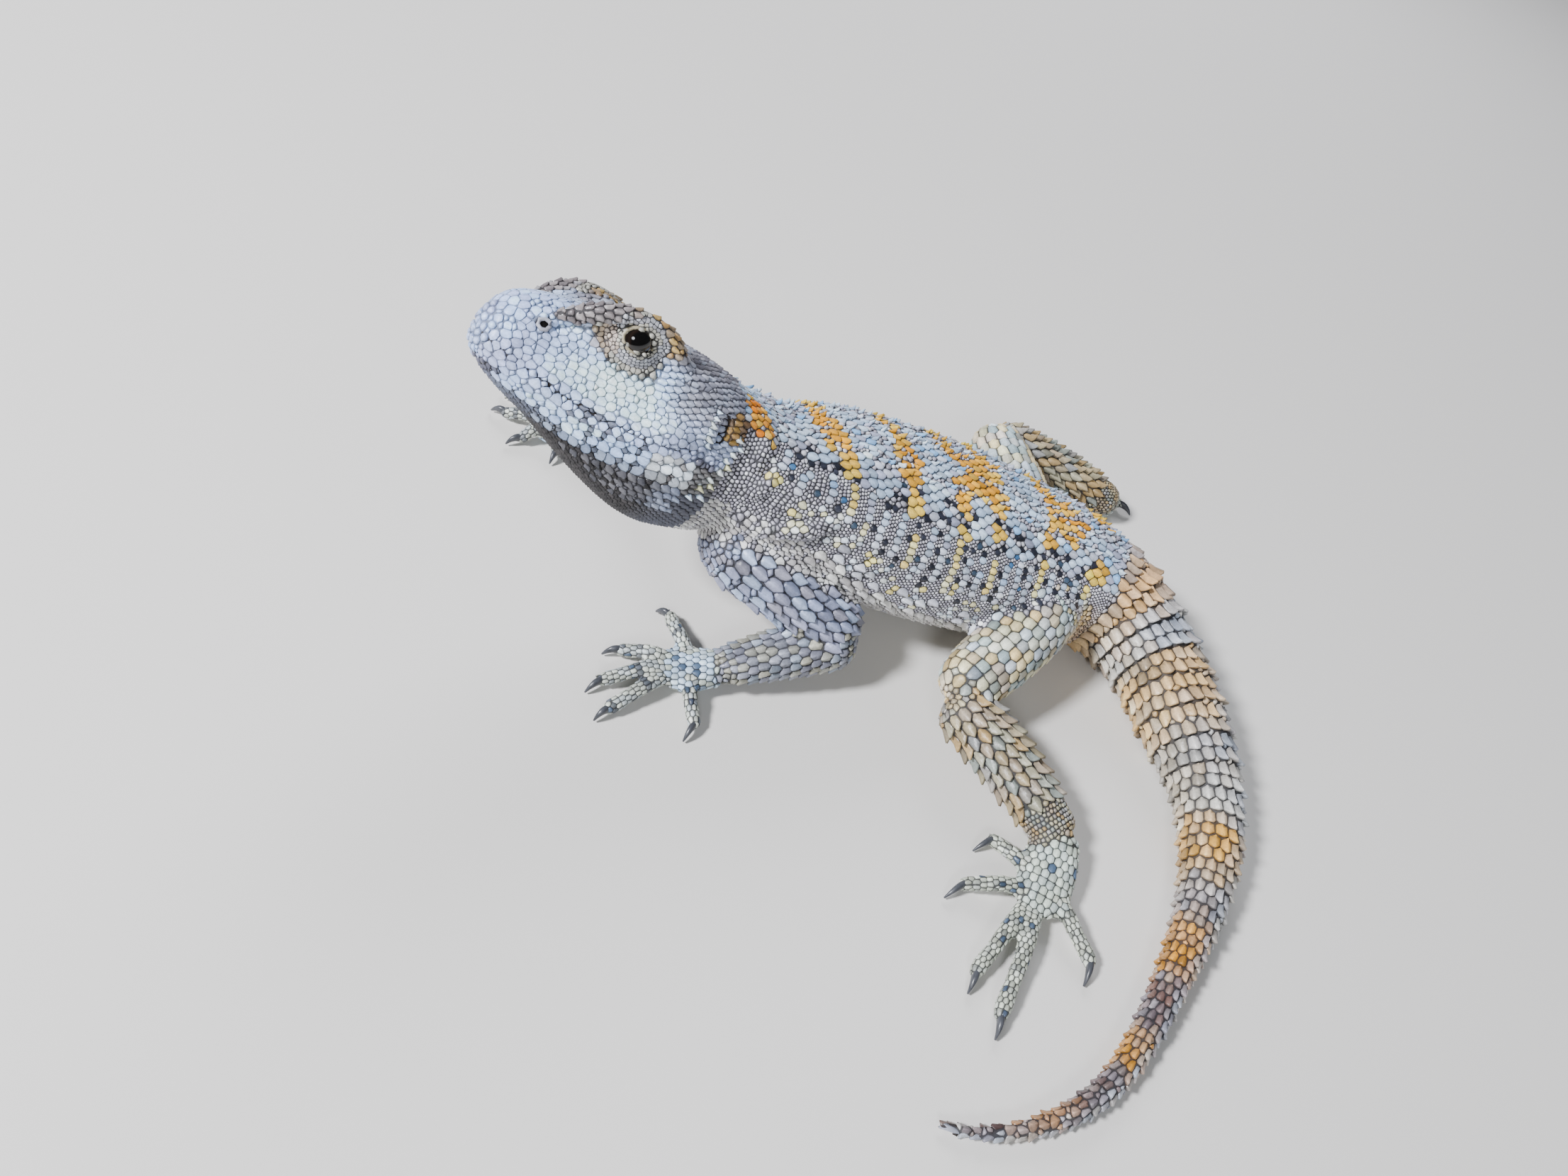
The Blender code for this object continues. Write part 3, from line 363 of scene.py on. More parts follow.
def ball(bm, centre, radii, axes, segments=24):
    """An ellipsoid with its half sizes along three given axes."""
    made = bmesh.ops.create_uvsphere(bm, u_segments=segments, v_segments=segments // 2, radius=1.0)
    for v in made["verts"]:
        v.co = Vector(np.asarray(centre) + sum(r * c * a for r, c, a in zip(radii, v.co, axes)))


def ridge_loft(places, radius, ends=0.5):
    """A round ridge through places, thinner at its two ends."""
    rows = []
    for i, place in enumerate(places):
        r = radius * (ends if i in (0, len(places) - 1) else 1.0)
        rows.append((*place, r, r, r, 2.0, 0.0))
    return Loft(rows)


def ridge(bm, places, radius, ends=0.5, sides=12):
    """Adds such a ridge to a bmesh."""
    tube(bm, ridge_loft(places, radius, ends), 0.8, sides)


def half_width_at(back, up):
    """The head's half width at a height above its axis."""
    value, _ = HEAD.values(np.asarray(back, float))
    tall = np.where(np.asarray(up) > 0, value[..., 4], value[..., 5])
    power = np.where(np.asarray(up) > 0, value[..., 6], PLAIN_OVAL)
    return value[..., 3] * (1 - np.clip(np.abs(up) / tall, 0, 1) ** power) ** (1 / power)


def on_head(back, up, side, out=0.0):
    """A place on the head's side at a distance behind the snout and a height."""
    return in_head(back, side * (half_width_at(back, up) + out), up)


# %% All forms of flesh
# Folds of loose hide on the neck and shoulder: each runs through (length, angle) places
FOLDS = [
    [(4, -30), (6, -8), (7, 14), (6.5, 30)],
    [(8, -34), (11, -14), (13, 4), (12.5, 20)],
    [(14, -30), (17.5, -16), (20.5, -2), (22, 10)],
]
FOLD_RADIUS, FOLD_SUNK = 1.35, 0.35
LIPS = [(1.15, -0.85), (-1.15, -0.75)]  # height above the line of the mouth, and how far out
CHEEK, CHEEK_RADII = (29.5, -2.5, -3.2), (6.0, 3.9, 4.2)  # behind the snout, height, how far out

flesh = bmesh.new()
for name, loft in lofts.items():
    fine = "digit" in name
    tube(flesh, loft, 0.9 if fine else 1.5, 16 if fine else 48, -SKIN_DEPTH * (0.6 if fine else 1.0))
head_axes = (HEAD_BACK, HEAD_LEFT, HEAD_UP)
for side in (1, -1):
    lid = in_head(LID_CENTRE[0], side * LID_CENTRE[1], LID_CENTRE[2])
    ball(flesh, lid, [LID_RADIUS - 0.2] * 3, head_axes)
    ridge(flesh, [in_head(b, side * (left + BROW_OUT), up) for b, left, up in BROW], BROW_RADIUS)
    for share_left, drop, radius in BROW_FILLS:
        under_brow = [in_head(b, side * left * share_left, up - drop) for b, left, up in BROW_ROOT]
        ridge(flesh, under_brow, radius)
    nose = in_head(NOSTRIL[0], side * (NOSTRIL[1] - 0.5), NOSTRIL[2])
    ball(flesh, nose, [NOSTRIL_RING] * 3, head_axes)
    ball(flesh, on_head(*CHEEK[:2], side, CHEEK[2]), CHEEK_RADII, head_axes)
    for rise, out in LIPS:
        ridge(flesh, [on_head(b, u + rise, side, out) for b, u in MOUTH_LINE[1:]], 1.0, 0.7)
    for fold in FOLDS:
        way = [(s, 180 - a if side < 0 else a) for s, a in fold]
        ridge(flesh, [SPINE.points(s, math.radians(a), -FOLD_SUNK) for s, a in way], FOLD_RADIUS)
print("faces of the loose forms:", len(flesh.faces))

# %% One closed skin
VOXEL = 0.6
SMOOTHINGS = 4

flesh_mesh = bpy.data.meshes.new("flesh")
bmesh.ops.recalc_face_normals(flesh, faces=flesh.faces)
flesh.to_mesh(flesh_mesh)
flesh.free()
flesh_object = bpy.data.objects.new("flesh", flesh_mesh)
bpy.context.scene.collection.objects.link(flesh_object)
remesh = flesh_object.modifiers.new("join", "REMESH")
remesh.mode = "VOXEL"
remesh.voxel_size = VOXEL
graph = bpy.context.evaluated_depsgraph_get()
skin_mesh = bpy.data.meshes.new_from_object(flesh_object.evaluated_get(graph))
bpy.data.objects.remove(flesh_object)
skin_bm = bmesh.new()
skin_bm.from_mesh(skin_mesh)
for _ in range(SMOOTHINGS):
    bmesh.ops.smooth_vert(
        skin_bm, verts=skin_bm.verts, factor=0.5, use_axis_x=True, use_axis_y=True, use_axis_z=True
    )
print("skin faces:", len(skin_bm.faces))

# %% [markdown]
# Mouth, eyes and ears
#
# The mouth is a groove, the ear a deep cup with a slit opening, and the lids leave a window over the
# eyeball. Voxels are too coarse to cut these cleanly, so the skin's own points are moved instead.

# %% Measures on the face
def near_line(x, y, line):
    """Distance in a plane from many places to a polyline."""
    nearest = np.full(len(x), np.inf)
    for (x0, y0), (x1, y1) in zip(line, line[1:]):
        run = (x1 - x0) ** 2 + (y1 - y0) ** 2
        t = np.clip(((x - x0) * (x1 - x0) + (y - y0) * (y1 - y0)) / run, 0, 1)
        nearest = np.minimum(nearest, np.hypot(x - x0 - t * (x1 - x0), y - y0 - t * (y1 - y0)))
    return nearest


def eye_ring(back, up):
    """How far out from the eye, as a multiple of the opening of the lids."""
    return np.hypot((back - EYE[0]) / LID_OPENING[0], (up - EYE[2]) / LID_OPENING[1])


def ear_ring(back, left, up, half=EAR_HALF):
    """How far out from the ear, as a multiple of its half sizes."""
    return np.sqrt(sum(((v - e) / h) ** 2 for v, e, h in zip((back, np.abs(left), up), EAR, half)))


def from_nostril(back, left, up):
    """Distance in mm, seen from the side, from the middle of the nostril."""
    return np.hypot(back - NOSTRIL[0], up - NOSTRIL[2] + NOSTRIL_DROP) + 9.0 * (np.abs(left) < 1.5)


# %% Shape the face
EYE_WINDOW_DEPTH = 0.8
PIT_DEPTH, PIT_EDGE, PIT_SLOPE = 1.1, 1.0, 0.5  # of the nostril, in mm

skin_bm.normal_update()
places = np.array([v.co for v in skin_bm.verts])
normals = np.array([v.normal for v in skin_bm.verts])
back, left, up = from_head(places)
is_head = (back > -1) & (back < 40) & (np.abs(left) > 0.3 * half_width_at(back, up))
for line, depth, half in CREASES:
    amount = np.clip(1 - near_line(back, up, line) / half, 0, 1) ** 1.3 * is_head
    places -= normals * (depth * amount)[:, None]
pit = np.clip((PIT_EDGE - from_nostril(back, left, up)) / PIT_SLOPE, 0, 1)
places -= normals * (PIT_DEPTH * pit * is_head)[:, None]
for side in (1, -1):
    inside = np.clip(1 - ear_ring(back, left, up) ** 2, 0, 1) * (side * left > 0)
    places -= (side * EAR_CUP * inside)[:, None] * HEAD_LEFT
    window = (eye_ring(back, up) < 1) & (side * left > EYE[1])
    centre = in_head(EYE[0], side * EYE[1], EYE[2])
    sunk = centre + unit(places - centre) * (EYE_RADIUS - EYE_WINDOW_DEPTH)
    places[window] = sunk[window]

# %% Steps of the tail's whorls
# Each whorl of the tail widens towards its rear edge, and the next one starts narrower there
WHORL_LENGTH, WHORL_SHARE = 2.9, 0.34
WHORL_STEP = 0.055  # of the tail's half width
TAIL_TIP = 0.8  # the last stretch has no whorl of its own
whorls = []
s = TRUNK_END
while s < SPINE.length - TAIL_TIP:
    wide = float(SPINE.values(np.array(s))[0][3])
    whorls.append((s, WHORL_LENGTH + WHORL_SHARE * wide, wide))
    s += whorls[-1][1]


def tree_of(places):
    """A search tree over many places."""
    tree = KDTree(len(places))
    for i, p in enumerate(places):
        tree.insert(p, i)
    tree.balance()
    return tree


line_s = np.arange(TRUNK_END, SPINE.length, 0.25)
line_tree = tree_of(SPINE.values(line_s)[0][:, :3])
starts = np.array([start for start, _, _ in whorls])
for i, place in enumerate(places):
    _, j, distance = line_tree.find(place)  # the nearest place on the line through the tail
    number = np.searchsorted(starts, line_s[j], side="right") - 1
    start, length, wide = whorls[max(number, 0)]
    if line_s[j] > TRUNK_END + 0.5 and distance < wide * 1.5:
        share = min((line_s[j] - start) / length, 1.0)
        ahead = min(1.0, (line_s[j] - TRUNK_END) / 12)
        places[i] += normals[i] * wide * WHORL_STEP * ahead * (share**1.5 - 0.4)
print("whorls:", len(whorls))

# %% Wrinkles of the hide
# Behind the arm, above the thigh and on the neck, as (length, angle) places
FLOOR_CLEAR = 0.05
WRINKLES = [
    [(24, -15), (27, -3), (28.5, 9)], [(27, -17), (30.5, -5), (32, 6)], [(30.5, -18), (34, -7), (36, 3)],
    [(70, 1), (73.5, 12), (78, 21)], [(72, -5), (76, 7), (81, 16)], [(75, -11), (79, 1), (84, 10)],
    [(10, -22), (12, -6), (11.5, 8)], [(16, -12), (19, 0), (21, 13)],
]
WRINKLE_DEPTH, WRINKLE_HALF = 0.6, 0.85
way = []
for line in WRINKLES:
    share = np.linspace(0, len(line) - 1, 60)
    length, angle = (np.interp(share, range(len(line)), values) for values in zip(*line))
    way += [SPINE.points(length, np.radians(degrees)) for degrees in (angle, 180 - angle)]
wrinkle_tree = tree_of(np.concatenate(way))
for i, place in enumerate(places):
    _, _, distance = wrinkle_tree.find(place)
    if distance < WRINKLE_HALF:
        places[i] -= normals[i] * WRINKLE_DEPTH * (1 - distance / WRINKLE_HALF)
places[:, 2] = np.maximum(places[:, 2], FLOOR_CLEAR)
for v, place in zip(skin_bm.verts, places):
    v.co = Vector(place)
skin_bm.normal_update()
ground = BVHTree.FromBMesh(skin_bm)
print("height of the skin:", places[:, 2].max().round(1), "mm, wrinkles:", len(WRINKLES), "a side")

# %% [markdown]
# Where the scales sit
#
# On the body, scales stand in rows: plates in cross rows on the back, beads on the flanks, rings on
# the tail, lips in files along the mouth. So seeds are laid in rows on each tube, brought down to
# the skin, thinned where two rows meet, and then pushed apart a little so that they fill the skin
# evenly, as growing scales do.

# %% Kinds of scale
# rays: corners of a scale; high: height; keel: ridge along it; lift: how far its rear stands up;
# reach: how far its rear runs over the next one; point: how sharp that rear is. Shares of its width.
KINDS = {
    "bead": {"rays": 8, "high": 0.30, "keel": 0.0, "lift": 0.02, "reach": 0.0, "point": 2},
    "smooth": {"rays": 12, "high": 0.10, "keel": 0.0, "lift": 0.03, "reach": 0.04, "point": 2},
    "tile": {"rays": 12, "high": 0.07, "keel": 0.02, "lift": 0.08, "reach": 0.12, "point": 3},
    "plate": {"rays": 14, "high": 0.09, "keel": 0.07, "lift": 0.10, "reach": 0.13, "point": 5},
    "keeled": {"rays": 14, "high": 0.07, "keel": 0.22, "lift": 0.22, "reach": 0.34, "point": 7},
    "spiny": {"rays": 14, "high": 0.08, "keel": 0.22, "lift": 0.40, "reach": 0.48, "point": 9},
    "whorl": {"rays": 14, "high": 0.09, "keel": 0.18, "lift": 0.36, "reach": 0.24, "point": 5},
    "spine": {"rays": 10, "high": 0.34, "keel": 0.30, "lift": 0.75, "reach": 0.60, "point": 6},
}
KIND_NAMES = list(KINDS)
REGIONS = ["trunk", "neck", "tail", "head", "throat", "brow", "lid", "upper", "lower", "foot", "digit"]
CHARTS = list(lofts)
seeds = {key: [] for key in ("place", "width", "kind", "region", "s", "angle", "lie", "chart", "rank")}
print("kinds:", KIND_NAMES)


# %% Rows of seeds
def add_seeds(place, width, kind, region, s, angle, lie, chart, rank):
    """Adds many seeds; a lower rank wins where two stand too close."""
    count = len(place)
    row = {
        "place": place, "width": np.broadcast_to(width, count), "s": np.broadcast_to(s, count),
        "kind": np.full(count, KIND_NAMES.index(kind)), "region": np.full(count, REGIONS.index(region)),
        "angle": np.broadcast_to(angle, count), "lie": np.broadcast_to(lie, (count, 3)),
        "chart": np.full(count, CHARTS.index(chart)), "rank": np.full(count, float(rank)),
    }
    for key, values in row.items():
        seeds[key].append(np.array(values, float))


def rows(chart, region, kind, start, end, along, across, low=-90, high=270, jitter=0.1, rank=5):
    """Rows of seeds across a tube from start to end, between two angles in degrees."""
    loft = lofts[chart]
    angles = np.radians(np.linspace(low, high, 181))
    for number, s in enumerate(np.arange(start + along / 2, end, along)):
        line = loft.points(s, angles)
        run = np.concatenate([[0.0], np.cumsum(np.linalg.norm(np.diff(line, axis=0), axis=1))])
        count = max(1, round(run[-1] / across))
        where = (np.arange(count) + 0.5 * (number % 2) + 0.25) / count * run[-1]
        where = where + rng.normal(0, jitter * across, count)
        angle = np.interp(where % run[-1], run, angles)
        length = s + rng.normal(0, jitter * along, count)
        lie = loft.backwards(np.full(count, s))
        width = math.sqrt(along * across)
        add_seeds(loft.points(length, angle), width, kind, region, length, angle, lie, chart, rank)


def mirrored(low, high):
    """The same stretch of angles on the left and on the right side."""
    return [(low, high), (180 - high, 180 - low)]


# %% Rows on neck, trunk and tail
# Angles are in degrees, 0 at the side and 90 on top. Sizes are the spacing along and across.
PLATE, PLATE_ROW, GRANULE, GRANULE_ROW = 2.0, 1.75, 0.66, 0.62
BACK_EDGE, FLANK_EDGE, FLANK_FOOT, BELLY_EDGE = 46, 12, -16, -34  # where one kind ends and another begins
# On the flank plates stand in single files this wide, at these lengths, with beads between the files
COLUMN = 1.85
COLUMNS = [13, 16.3, 19.6, 23, 26.6, 30.2, 33.9, 37.6, 41.2, 44.7, 48.1, 51.2, 54.2, 57.2, 60.4, 63.5, 66.6,
           69.9, 73.2, 76.6, 80, 83.5]
rows("spine", "trunk", "plate", NECK_END - 4, TRUNK_END, PLATE_ROW, PLATE, BACK_EDGE, 180 - BACK_EDGE, 0.07)
for low, high in mirrored(FLANK_EDGE, BACK_EDGE):
    for middle in COLUMNS:
        rows("spine", "trunk", "plate", middle - COLUMN / 2, middle + 0.1, COLUMN, 1.3, low, high, 0.07, 4)
    rows("spine", "trunk", "bead", NECK_END - 3, TRUNK_END, GRANULE_ROW, GRANULE, low, high, 0.08, 7)
for low, high in mirrored(FLANK_FOOT, FLANK_EDGE):
    rows("spine", "trunk", "bead", NECK_END - 2, TRUNK_END, GRANULE_ROW, GRANULE, low, high, 0.08, 7)
for low, high in mirrored(BELLY_EDGE, FLANK_FOOT):
    rows("spine", "trunk", "keeled", NECK_END, TRUNK_END, 1.1, 1.1, low, high)
for low, high in mirrored(-26, -2):
    rows("spine", "trunk", "keeled", NECK_END + 8, TRUNK_END - 4, 2.5, 2.2, low, high, 0.2, 4.2)
rows("spine", "trunk", "smooth", NECK_END, TRUNK_END, 1.35, 1.4, -180 - BELLY_EDGE, BELLY_EDGE)
rows("spine", "neck", "plate", 1.5, NECK_END - 4, 1.35, 1.4, 14, 166, 0.15)
for low, high in mirrored(-30, 14):
    rows("spine", "neck", "bead", 2, NECK_END - 2, 0.72, 0.72, low, high, 0.08)
rows("spine", "neck", "keeled", 2, NECK_END, 1.0, 1.0, -150, -30)
FRONT_ROW = 0.47  # share of a whorl that its front row takes
for start, length, wide in whorls:
    scute = min(2.6, 0.9 + 0.28 * wide)
    front, rear = length * FRONT_ROW, length * (1 - FRONT_ROW)
    rows("spine", "tail", "keeled", start, start + front, front, scute * 0.95, jitter=0.04, rank=2)
    rows("spine", "tail", "whorl", start + front, start + length, rear, scute, jitter=0.04, rank=2)
print("rows on the body and tail:", len(seeds["place"]))

# %% Rows on the head
rows("head", "head", "smooth", 0.3, 9, 1.45, 1.5, 20, 160, 0.15)
rows("head", "head", "tile", 9, 30, 1.3, 1.3, 42, 138, 0.18)
rows("head", "head", "keeled", 30, 40.5, 1.15, 1.2, 30, 150, 0.15)
for low, high in mirrored(-10, 42):
    rows("head", "head", "keeled", 24, 40.5, 1.2, 1.1, low, high, 0.12)
for low, high in mirrored(-60, 20):
    rows("head", "head", "smooth", 0.3, 6, 1.25, 1.25, low, high, 0.12)
for low, high in mirrored(-50, -15):
    rows("head", "throat", "keeled", 14, 40.5, 1.15, 1.05, low, high, 0.06, 6)
rows("head", "throat", "keeled", 2, 40.5, 0.95, 0.95, -130, -50, 0.05, 6)
print("rows with the head:", len(seeds["place"]))

# %% Rows on the limbs
# Kind of scale, and its spacing along and across
LIMB_ROWS = {
    "arm": {"upper": ("keeled", 2.35, 2.35), "lower": ("keeled", 1.8, 1.8), "foot": ("plate", 1.2, 1.3)},
    "leg": {"upper": ("plate", 2.2, 2.3), "lower": ("spiny", 2.35, 2.2), "foot": ("plate", 1.4, 1.4)},
}
# Small scales this far along at elbow, wrist, knee and ankle, where the hide folds, and their kind
FOLDED = {"arm": (2.6, 3.0, 2.2, "keeled", 1.25), "leg": (3.0, 6.0, 3.2, "bead", 0.8)}
LIMB_ROOT = 12.5  # the first stretch of a limb, in the armpit or groin
for limb in LIMBS:
    bend, narrow, heel, ankle_kind, ankle_size = FOLDED[limb[:3]]
    for part, (kind, along, across) in LIMB_ROWS[limb[:3]].items():
        chart = f"{limb}_{part}"
        end = lofts[chart].length
        start = {"upper": LIMB_ROOT, "lower": bend, "foot": heel}[part]
        stop = end - (narrow if part == "lower" else 0.3)
        rows(chart, part, kind, start, stop, along, across, -35, 215, 0.05, 5)
        rows(chart, part, "smooth", start, stop, along * 0.8, across * 0.8, -145, -35, 0.1, 6)
        if part == "lower":
            rows(chart, part, "keeled", 0.4, start, 1.2, 1.2, -90, 270, 0.06, 5.5)
            rows(chart, part, ankle_kind, stop, end - 1.0, ankle_size, ankle_size, -20, 170, 0.1, 4.5)
        if part == "upper":
            rows(chart, part, "keeled", 0.4, start, 1.2, 1.2, -90, 270, 0.1, 5.5)
    for number in range(1, 6):
        chart = f"{limb}_digit_{number}"
        end = lofts[chart].length
        rows(chart, "digit", "plate", 0.5, end - 1.5, 0.95, 1.2, jitter=0.05)
        rows(chart, "digit", "smooth", end - 1.5, end, 1.2, 1.4, jitter=0.05)
print("rows with the limbs:", len(seeds["place"]))


# %% Files along the mouth
# Distance above the mouth, spacing, width, kind, and where the file starts and ends behind the snout
HEAD_FILES = [
    (0.95, 1.85, 1.45, "smooth", 1.2, 33.5), (2.25, 1.7, 1.3, "smooth", 1.6, 33.0),
    (3.35, 1.6, 1.2, "tile", 2.5, 31.0), (4.45, 1.55, 1.2, "tile", 3.5, 29.0),
    (5.55, 1.5, 1.15, "tile", 4.5, 27.0), (6.65, 1.5, 1.15, "tile", 6.0, 26.0),
    (7.75, 1.45, 1.1, "tile", 8.0, 16.0), (8.85, 1.4, 1.1, "tile", 9.0, 15.0),
    (-0.95, 1.85, 1.4, "smooth", 1.0, 33.0), (-2.35, 1.85, 1.5, "tile", 1.6, 34.0),
    (-3.85, 1.9, 1.7, "tile", 4.0, 35.0), (-5.45, 1.9, 1.7, "tile", 7.0, 35.0),
    (-6.95, 1.7, 1.5, "keeled", 10.0, 35.5), (-8.3, 1.5, 1.3, "keeled", 13.0, 35.5),
    (-9.5, 1.4, 1.2, "keeled", 16.0, 35.5), (-10.6, 1.3, 1.1, "keeled", 18.0, 36.0),
]
ALONG_MOUTH = unit(HEAD_BACK - 0.2 * HEAD_UP)


def seeds_on_side(back, up, width, kind, region, rank, lie=ALONG_MOUTH):
    """Seeds at places on both sides of the head."""
    tall = np.where(up > 0, HEAD.values(back)[0][..., 4], HEAD.values(back)[0][..., 5])
    keep = np.abs(up) < 0.93 * tall
    back, up = back[keep], up[keep]
    for side in (1, -1):
        angle = np.arctan2(up, side * half_width_at(back, up))
        add_seeds(on_head(back, up, side), width, kind, region, back, angle, lie, "head", rank)


for number, (offset, spacing, width, kind, start, end) in enumerate(HEAD_FILES):
    back = np.arange(start + spacing * 0.5 * (number % 2), end, spacing)
    back = back + rng.normal(0, 0.06 * spacing, len(back))
    up = np.interp(back, *zip(*MOUTH_LINE)) + offset + rng.normal(0, 0.05, len(back))
    seeds_on_side(back, up, width, kind, "head", 1)
print("files along the mouth:", len(HEAD_FILES), "a side")

# %% Brow, lids, fringe and tufts
# Rings round the eye: how far out as a multiple of the lids' opening, how many scales, their width
LID_RINGS = [(1.2, 26, 0.62), (1.42, 32, 0.58), (1.62, 37, 0.56), (1.82, 42, 0.56), (2.06, 36, 0.85)]
# Spines in front of the ear and behind the jaw, as (behind the snout, height) places
EAR_FRINGE = [(34.6, 3.6), (34.4, 2.5), (34.3, 1.4), (34.3, 0.3), (34.5, -0.8), (35.0, -1.9)]
TUFTS = [(40.2, 0.6), (41.0, -0.7), (40.2, -1.8), (39.4, -3.0), (40.3, -4.0), (39.2, -5.2), (38.2, -6.6),
         (39.2, -7.8), (37.4, -8.6), (38.4, -10.0), (36.6, -10.4)]
for side in (1, -1):
    crest_line = ridge_loft([in_head(b, side * (left + BROW_OUT), up) for b, left, up in BROW], BROW_RADIUS)
    for number, s in enumerate(np.arange(0.6, crest_line.length, 1.3)):
        turn = np.radians((-30, 25, 80, 135, 190) if number % 2 else (0, 52, 108, 165))
        turn = turn if side > 0 else math.pi - turn
        place = crest_line.points(np.full(len(turn), s), turn)
        back, _, _ = from_head(place)
        add_seeds(place, 1.25, "keeled", "brow", back, math.pi / 2 - side, HEAD_BACK, "head", 1)
    for ring, count, size in LID_RINGS:
        turn = (np.arange(count) + rng.normal(0, 0.12, count)) * math.tau / count
        ring = ring + rng.normal(0, 0.03, count)
        flat_b, flat_u = LID_OPENING[0] * ring * np.cos(turn), LID_OPENING[1] * ring * np.sin(turn)
        depth = np.sqrt(np.maximum((LID_RADIUS + 0.4) ** 2 - flat_b**2 - flat_u**2, 1.0))
        place = in_head(EYE[0] + flat_b, side * (LID_CENTRE[1] + depth), EYE[2] + flat_u)
        add_seeds(place, size, "smooth", "lid", EYE[0] + flat_b, turn, HEAD_BACK, "head", 0)
for points, size in ((EAR_FRINGE, 0.8), (TUFTS, 0.9)):
    back, up = np.array(points).T
    lie = unit(HEAD_BACK * 0.9 - HEAD_UP * 0.3)
    seeds_on_side(back, up, size, "spine", "head", 0.2, lie)
print("spines of the ears and jaw:", 2 * (len(EAR_FRINGE) + len(TUFTS)))


# %% Tubercles
def on_trunk(length, angle, size, kind, rank):
    """Seeds at lengths and angles of the trunk."""
    place = SPINE.points(length, angle)
    add_seeds(place, size, kind, "trunk", length, angle, SPINE.backwards(length), "spine", rank)


# Rosettes of larger pale tubercles among the beads, at (length, angle), the first ones cream yellow
ROSETTES = [
    (12, 10), (13.6, 8), (16.9, -2), (18.2, -9), (31.8, 8), (30.5, 2), (38.6, -6), (43.7, 4), (49.5, 9),
    (56, 3), (62, 8), (66, -2), (74, 6), (23, -3), (26, 7), (35, 0), (40, 9), (46, -9), (53, -7),
    (59, -8), (70, 8), (72, -6), (79, 4), (28, -10), (21, 6),
]
YELLOW_ROSETTES = 9
YELLOW_RANK, PALE_RANK, BLACK_RANK = 0.5, 0.6, 0.7
for number, (s, angle) in enumerate(ROSETTES):
    for side in (1, -1):
        count = rng.integers(5, 9)
        length = s + rng.normal(0, 0.85, count)
        degrees = angle + rng.normal(0, 3.6, count)
        turn = np.radians(degrees if side > 0 else 180 - degrees)
        rank = YELLOW_RANK if number < YELLOW_ROSETTES else PALE_RANK
        on_trunk(length, turn, rng.uniform(1.1, 1.45, count), "plate", rank)
print("rosettes:", len(ROSETTES), "a side")

# %% Crest
# Raised scales in loose rows along the back, as angle and kind
CREST_ROWS = [(76, "spiny"), (90, "spiny"), (102, "spine"), (111, "spiny"), (119, "spine"), (128, "spiny")]
crest = np.arange(5.0, TRUNK_END, 1.9)
for turn, kind in CREST_ROWS:
    length = crest + rng.normal(0, 0.5, len(crest))
    angle = np.radians(turn) + rng.normal(0, 0.03, len(crest))
    on_trunk(length, angle, 1.3 if kind == "spiny" else 0.95, kind, 3)
print("crest places in a row:", len(crest))

# %% Black plates
# They stand in the bead files between the columns, at these angles, densest on the upper flank
DOT_LEVELS = (62, 53, 44, 36, 28, 20, 12, 4, -4)
DENSE, SPARSE = 0.52, 0.27
dot_length = np.concatenate([(np.array(COLUMNS[1:]) + COLUMNS[:-1]) / 2, COLUMNS])
for level in DOT_LEVELS:
    for side in (1, -1):
        here = dot_length[: len(COLUMNS) - 1] if level < 44 else dot_length
        here = here[rng.random(len(here)) < (DENSE if 8 < level < 50 else SPARSE)]
        length = here + rng.normal(0, 0.25, len(here))
        angle = np.radians(level + rng.normal(0, 2.5, len(here)))
        angle = angle if side > 0 else math.pi - angle
        on_trunk(length, angle, rng.uniform(0.95, 1.3, len(here)), "plate", BLACK_RANK)
seeds = {key: np.concatenate(values) for key, values in seeds.items()}
print("seeds laid:", len(seeds["place"]))


# %% Bring the seeds down to the skin and thin them
CLOSE = 0.66  # two seeds may stand this share of their mean width apart
TOO_FAR = 1.7  # mm; a seed farther off than this lies inside another part of the body


def to_skin(places):
    """Nearest places on the skin, the skin's normals there, and how far each was."""
    found = [ground.find_nearest(Vector(p)) for p in places]
    near = np.array([f[0] for f in found])
    return near, np.array([f[1] for f in found]), np.array([f[3] for f in found])


def chosen(part):
    """The seeds that a mask names."""
    return {key: values[part] for key, values in seeds.items()}


def thin():
    """Drops each seed that stands too close to one of a lower rank."""
    tree = tree_of(seeds["place"])
    alive = np.ones(len(seeds["place"]), bool)
    for i in np.argsort(seeds["rank"] + seeds["far"] * 0.2, kind="stable"):
        if not alive[i]:
            continue
        for _, j, distance in tree.find_range(seeds["place"][i], seeds["width"][i] * CLOSE * 1.4):
            limit = CLOSE * (seeds["width"][i] + seeds["width"][j]) / 2
            if j != i and distance < limit:
                alive[j] = False
    return chosen(alive)


seeds["place"], seeds["normal"], seeds["far"] = to_skin(seeds["place"])
back, left, up = from_head(seeds["place"])
blocked = (eye_ring(back, up) < 1.08) & (np.abs(left) > EYE[1] - 1)
blocked |= ear_ring(back, left, up) < 0.95
blocked |= from_nostril(back, left, up) < 1.3
seeds = chosen((seeds["far"] < TOO_FAR) & ~blocked)
seeds = thin()
print("seeds after thinning:", len(seeds["place"]))

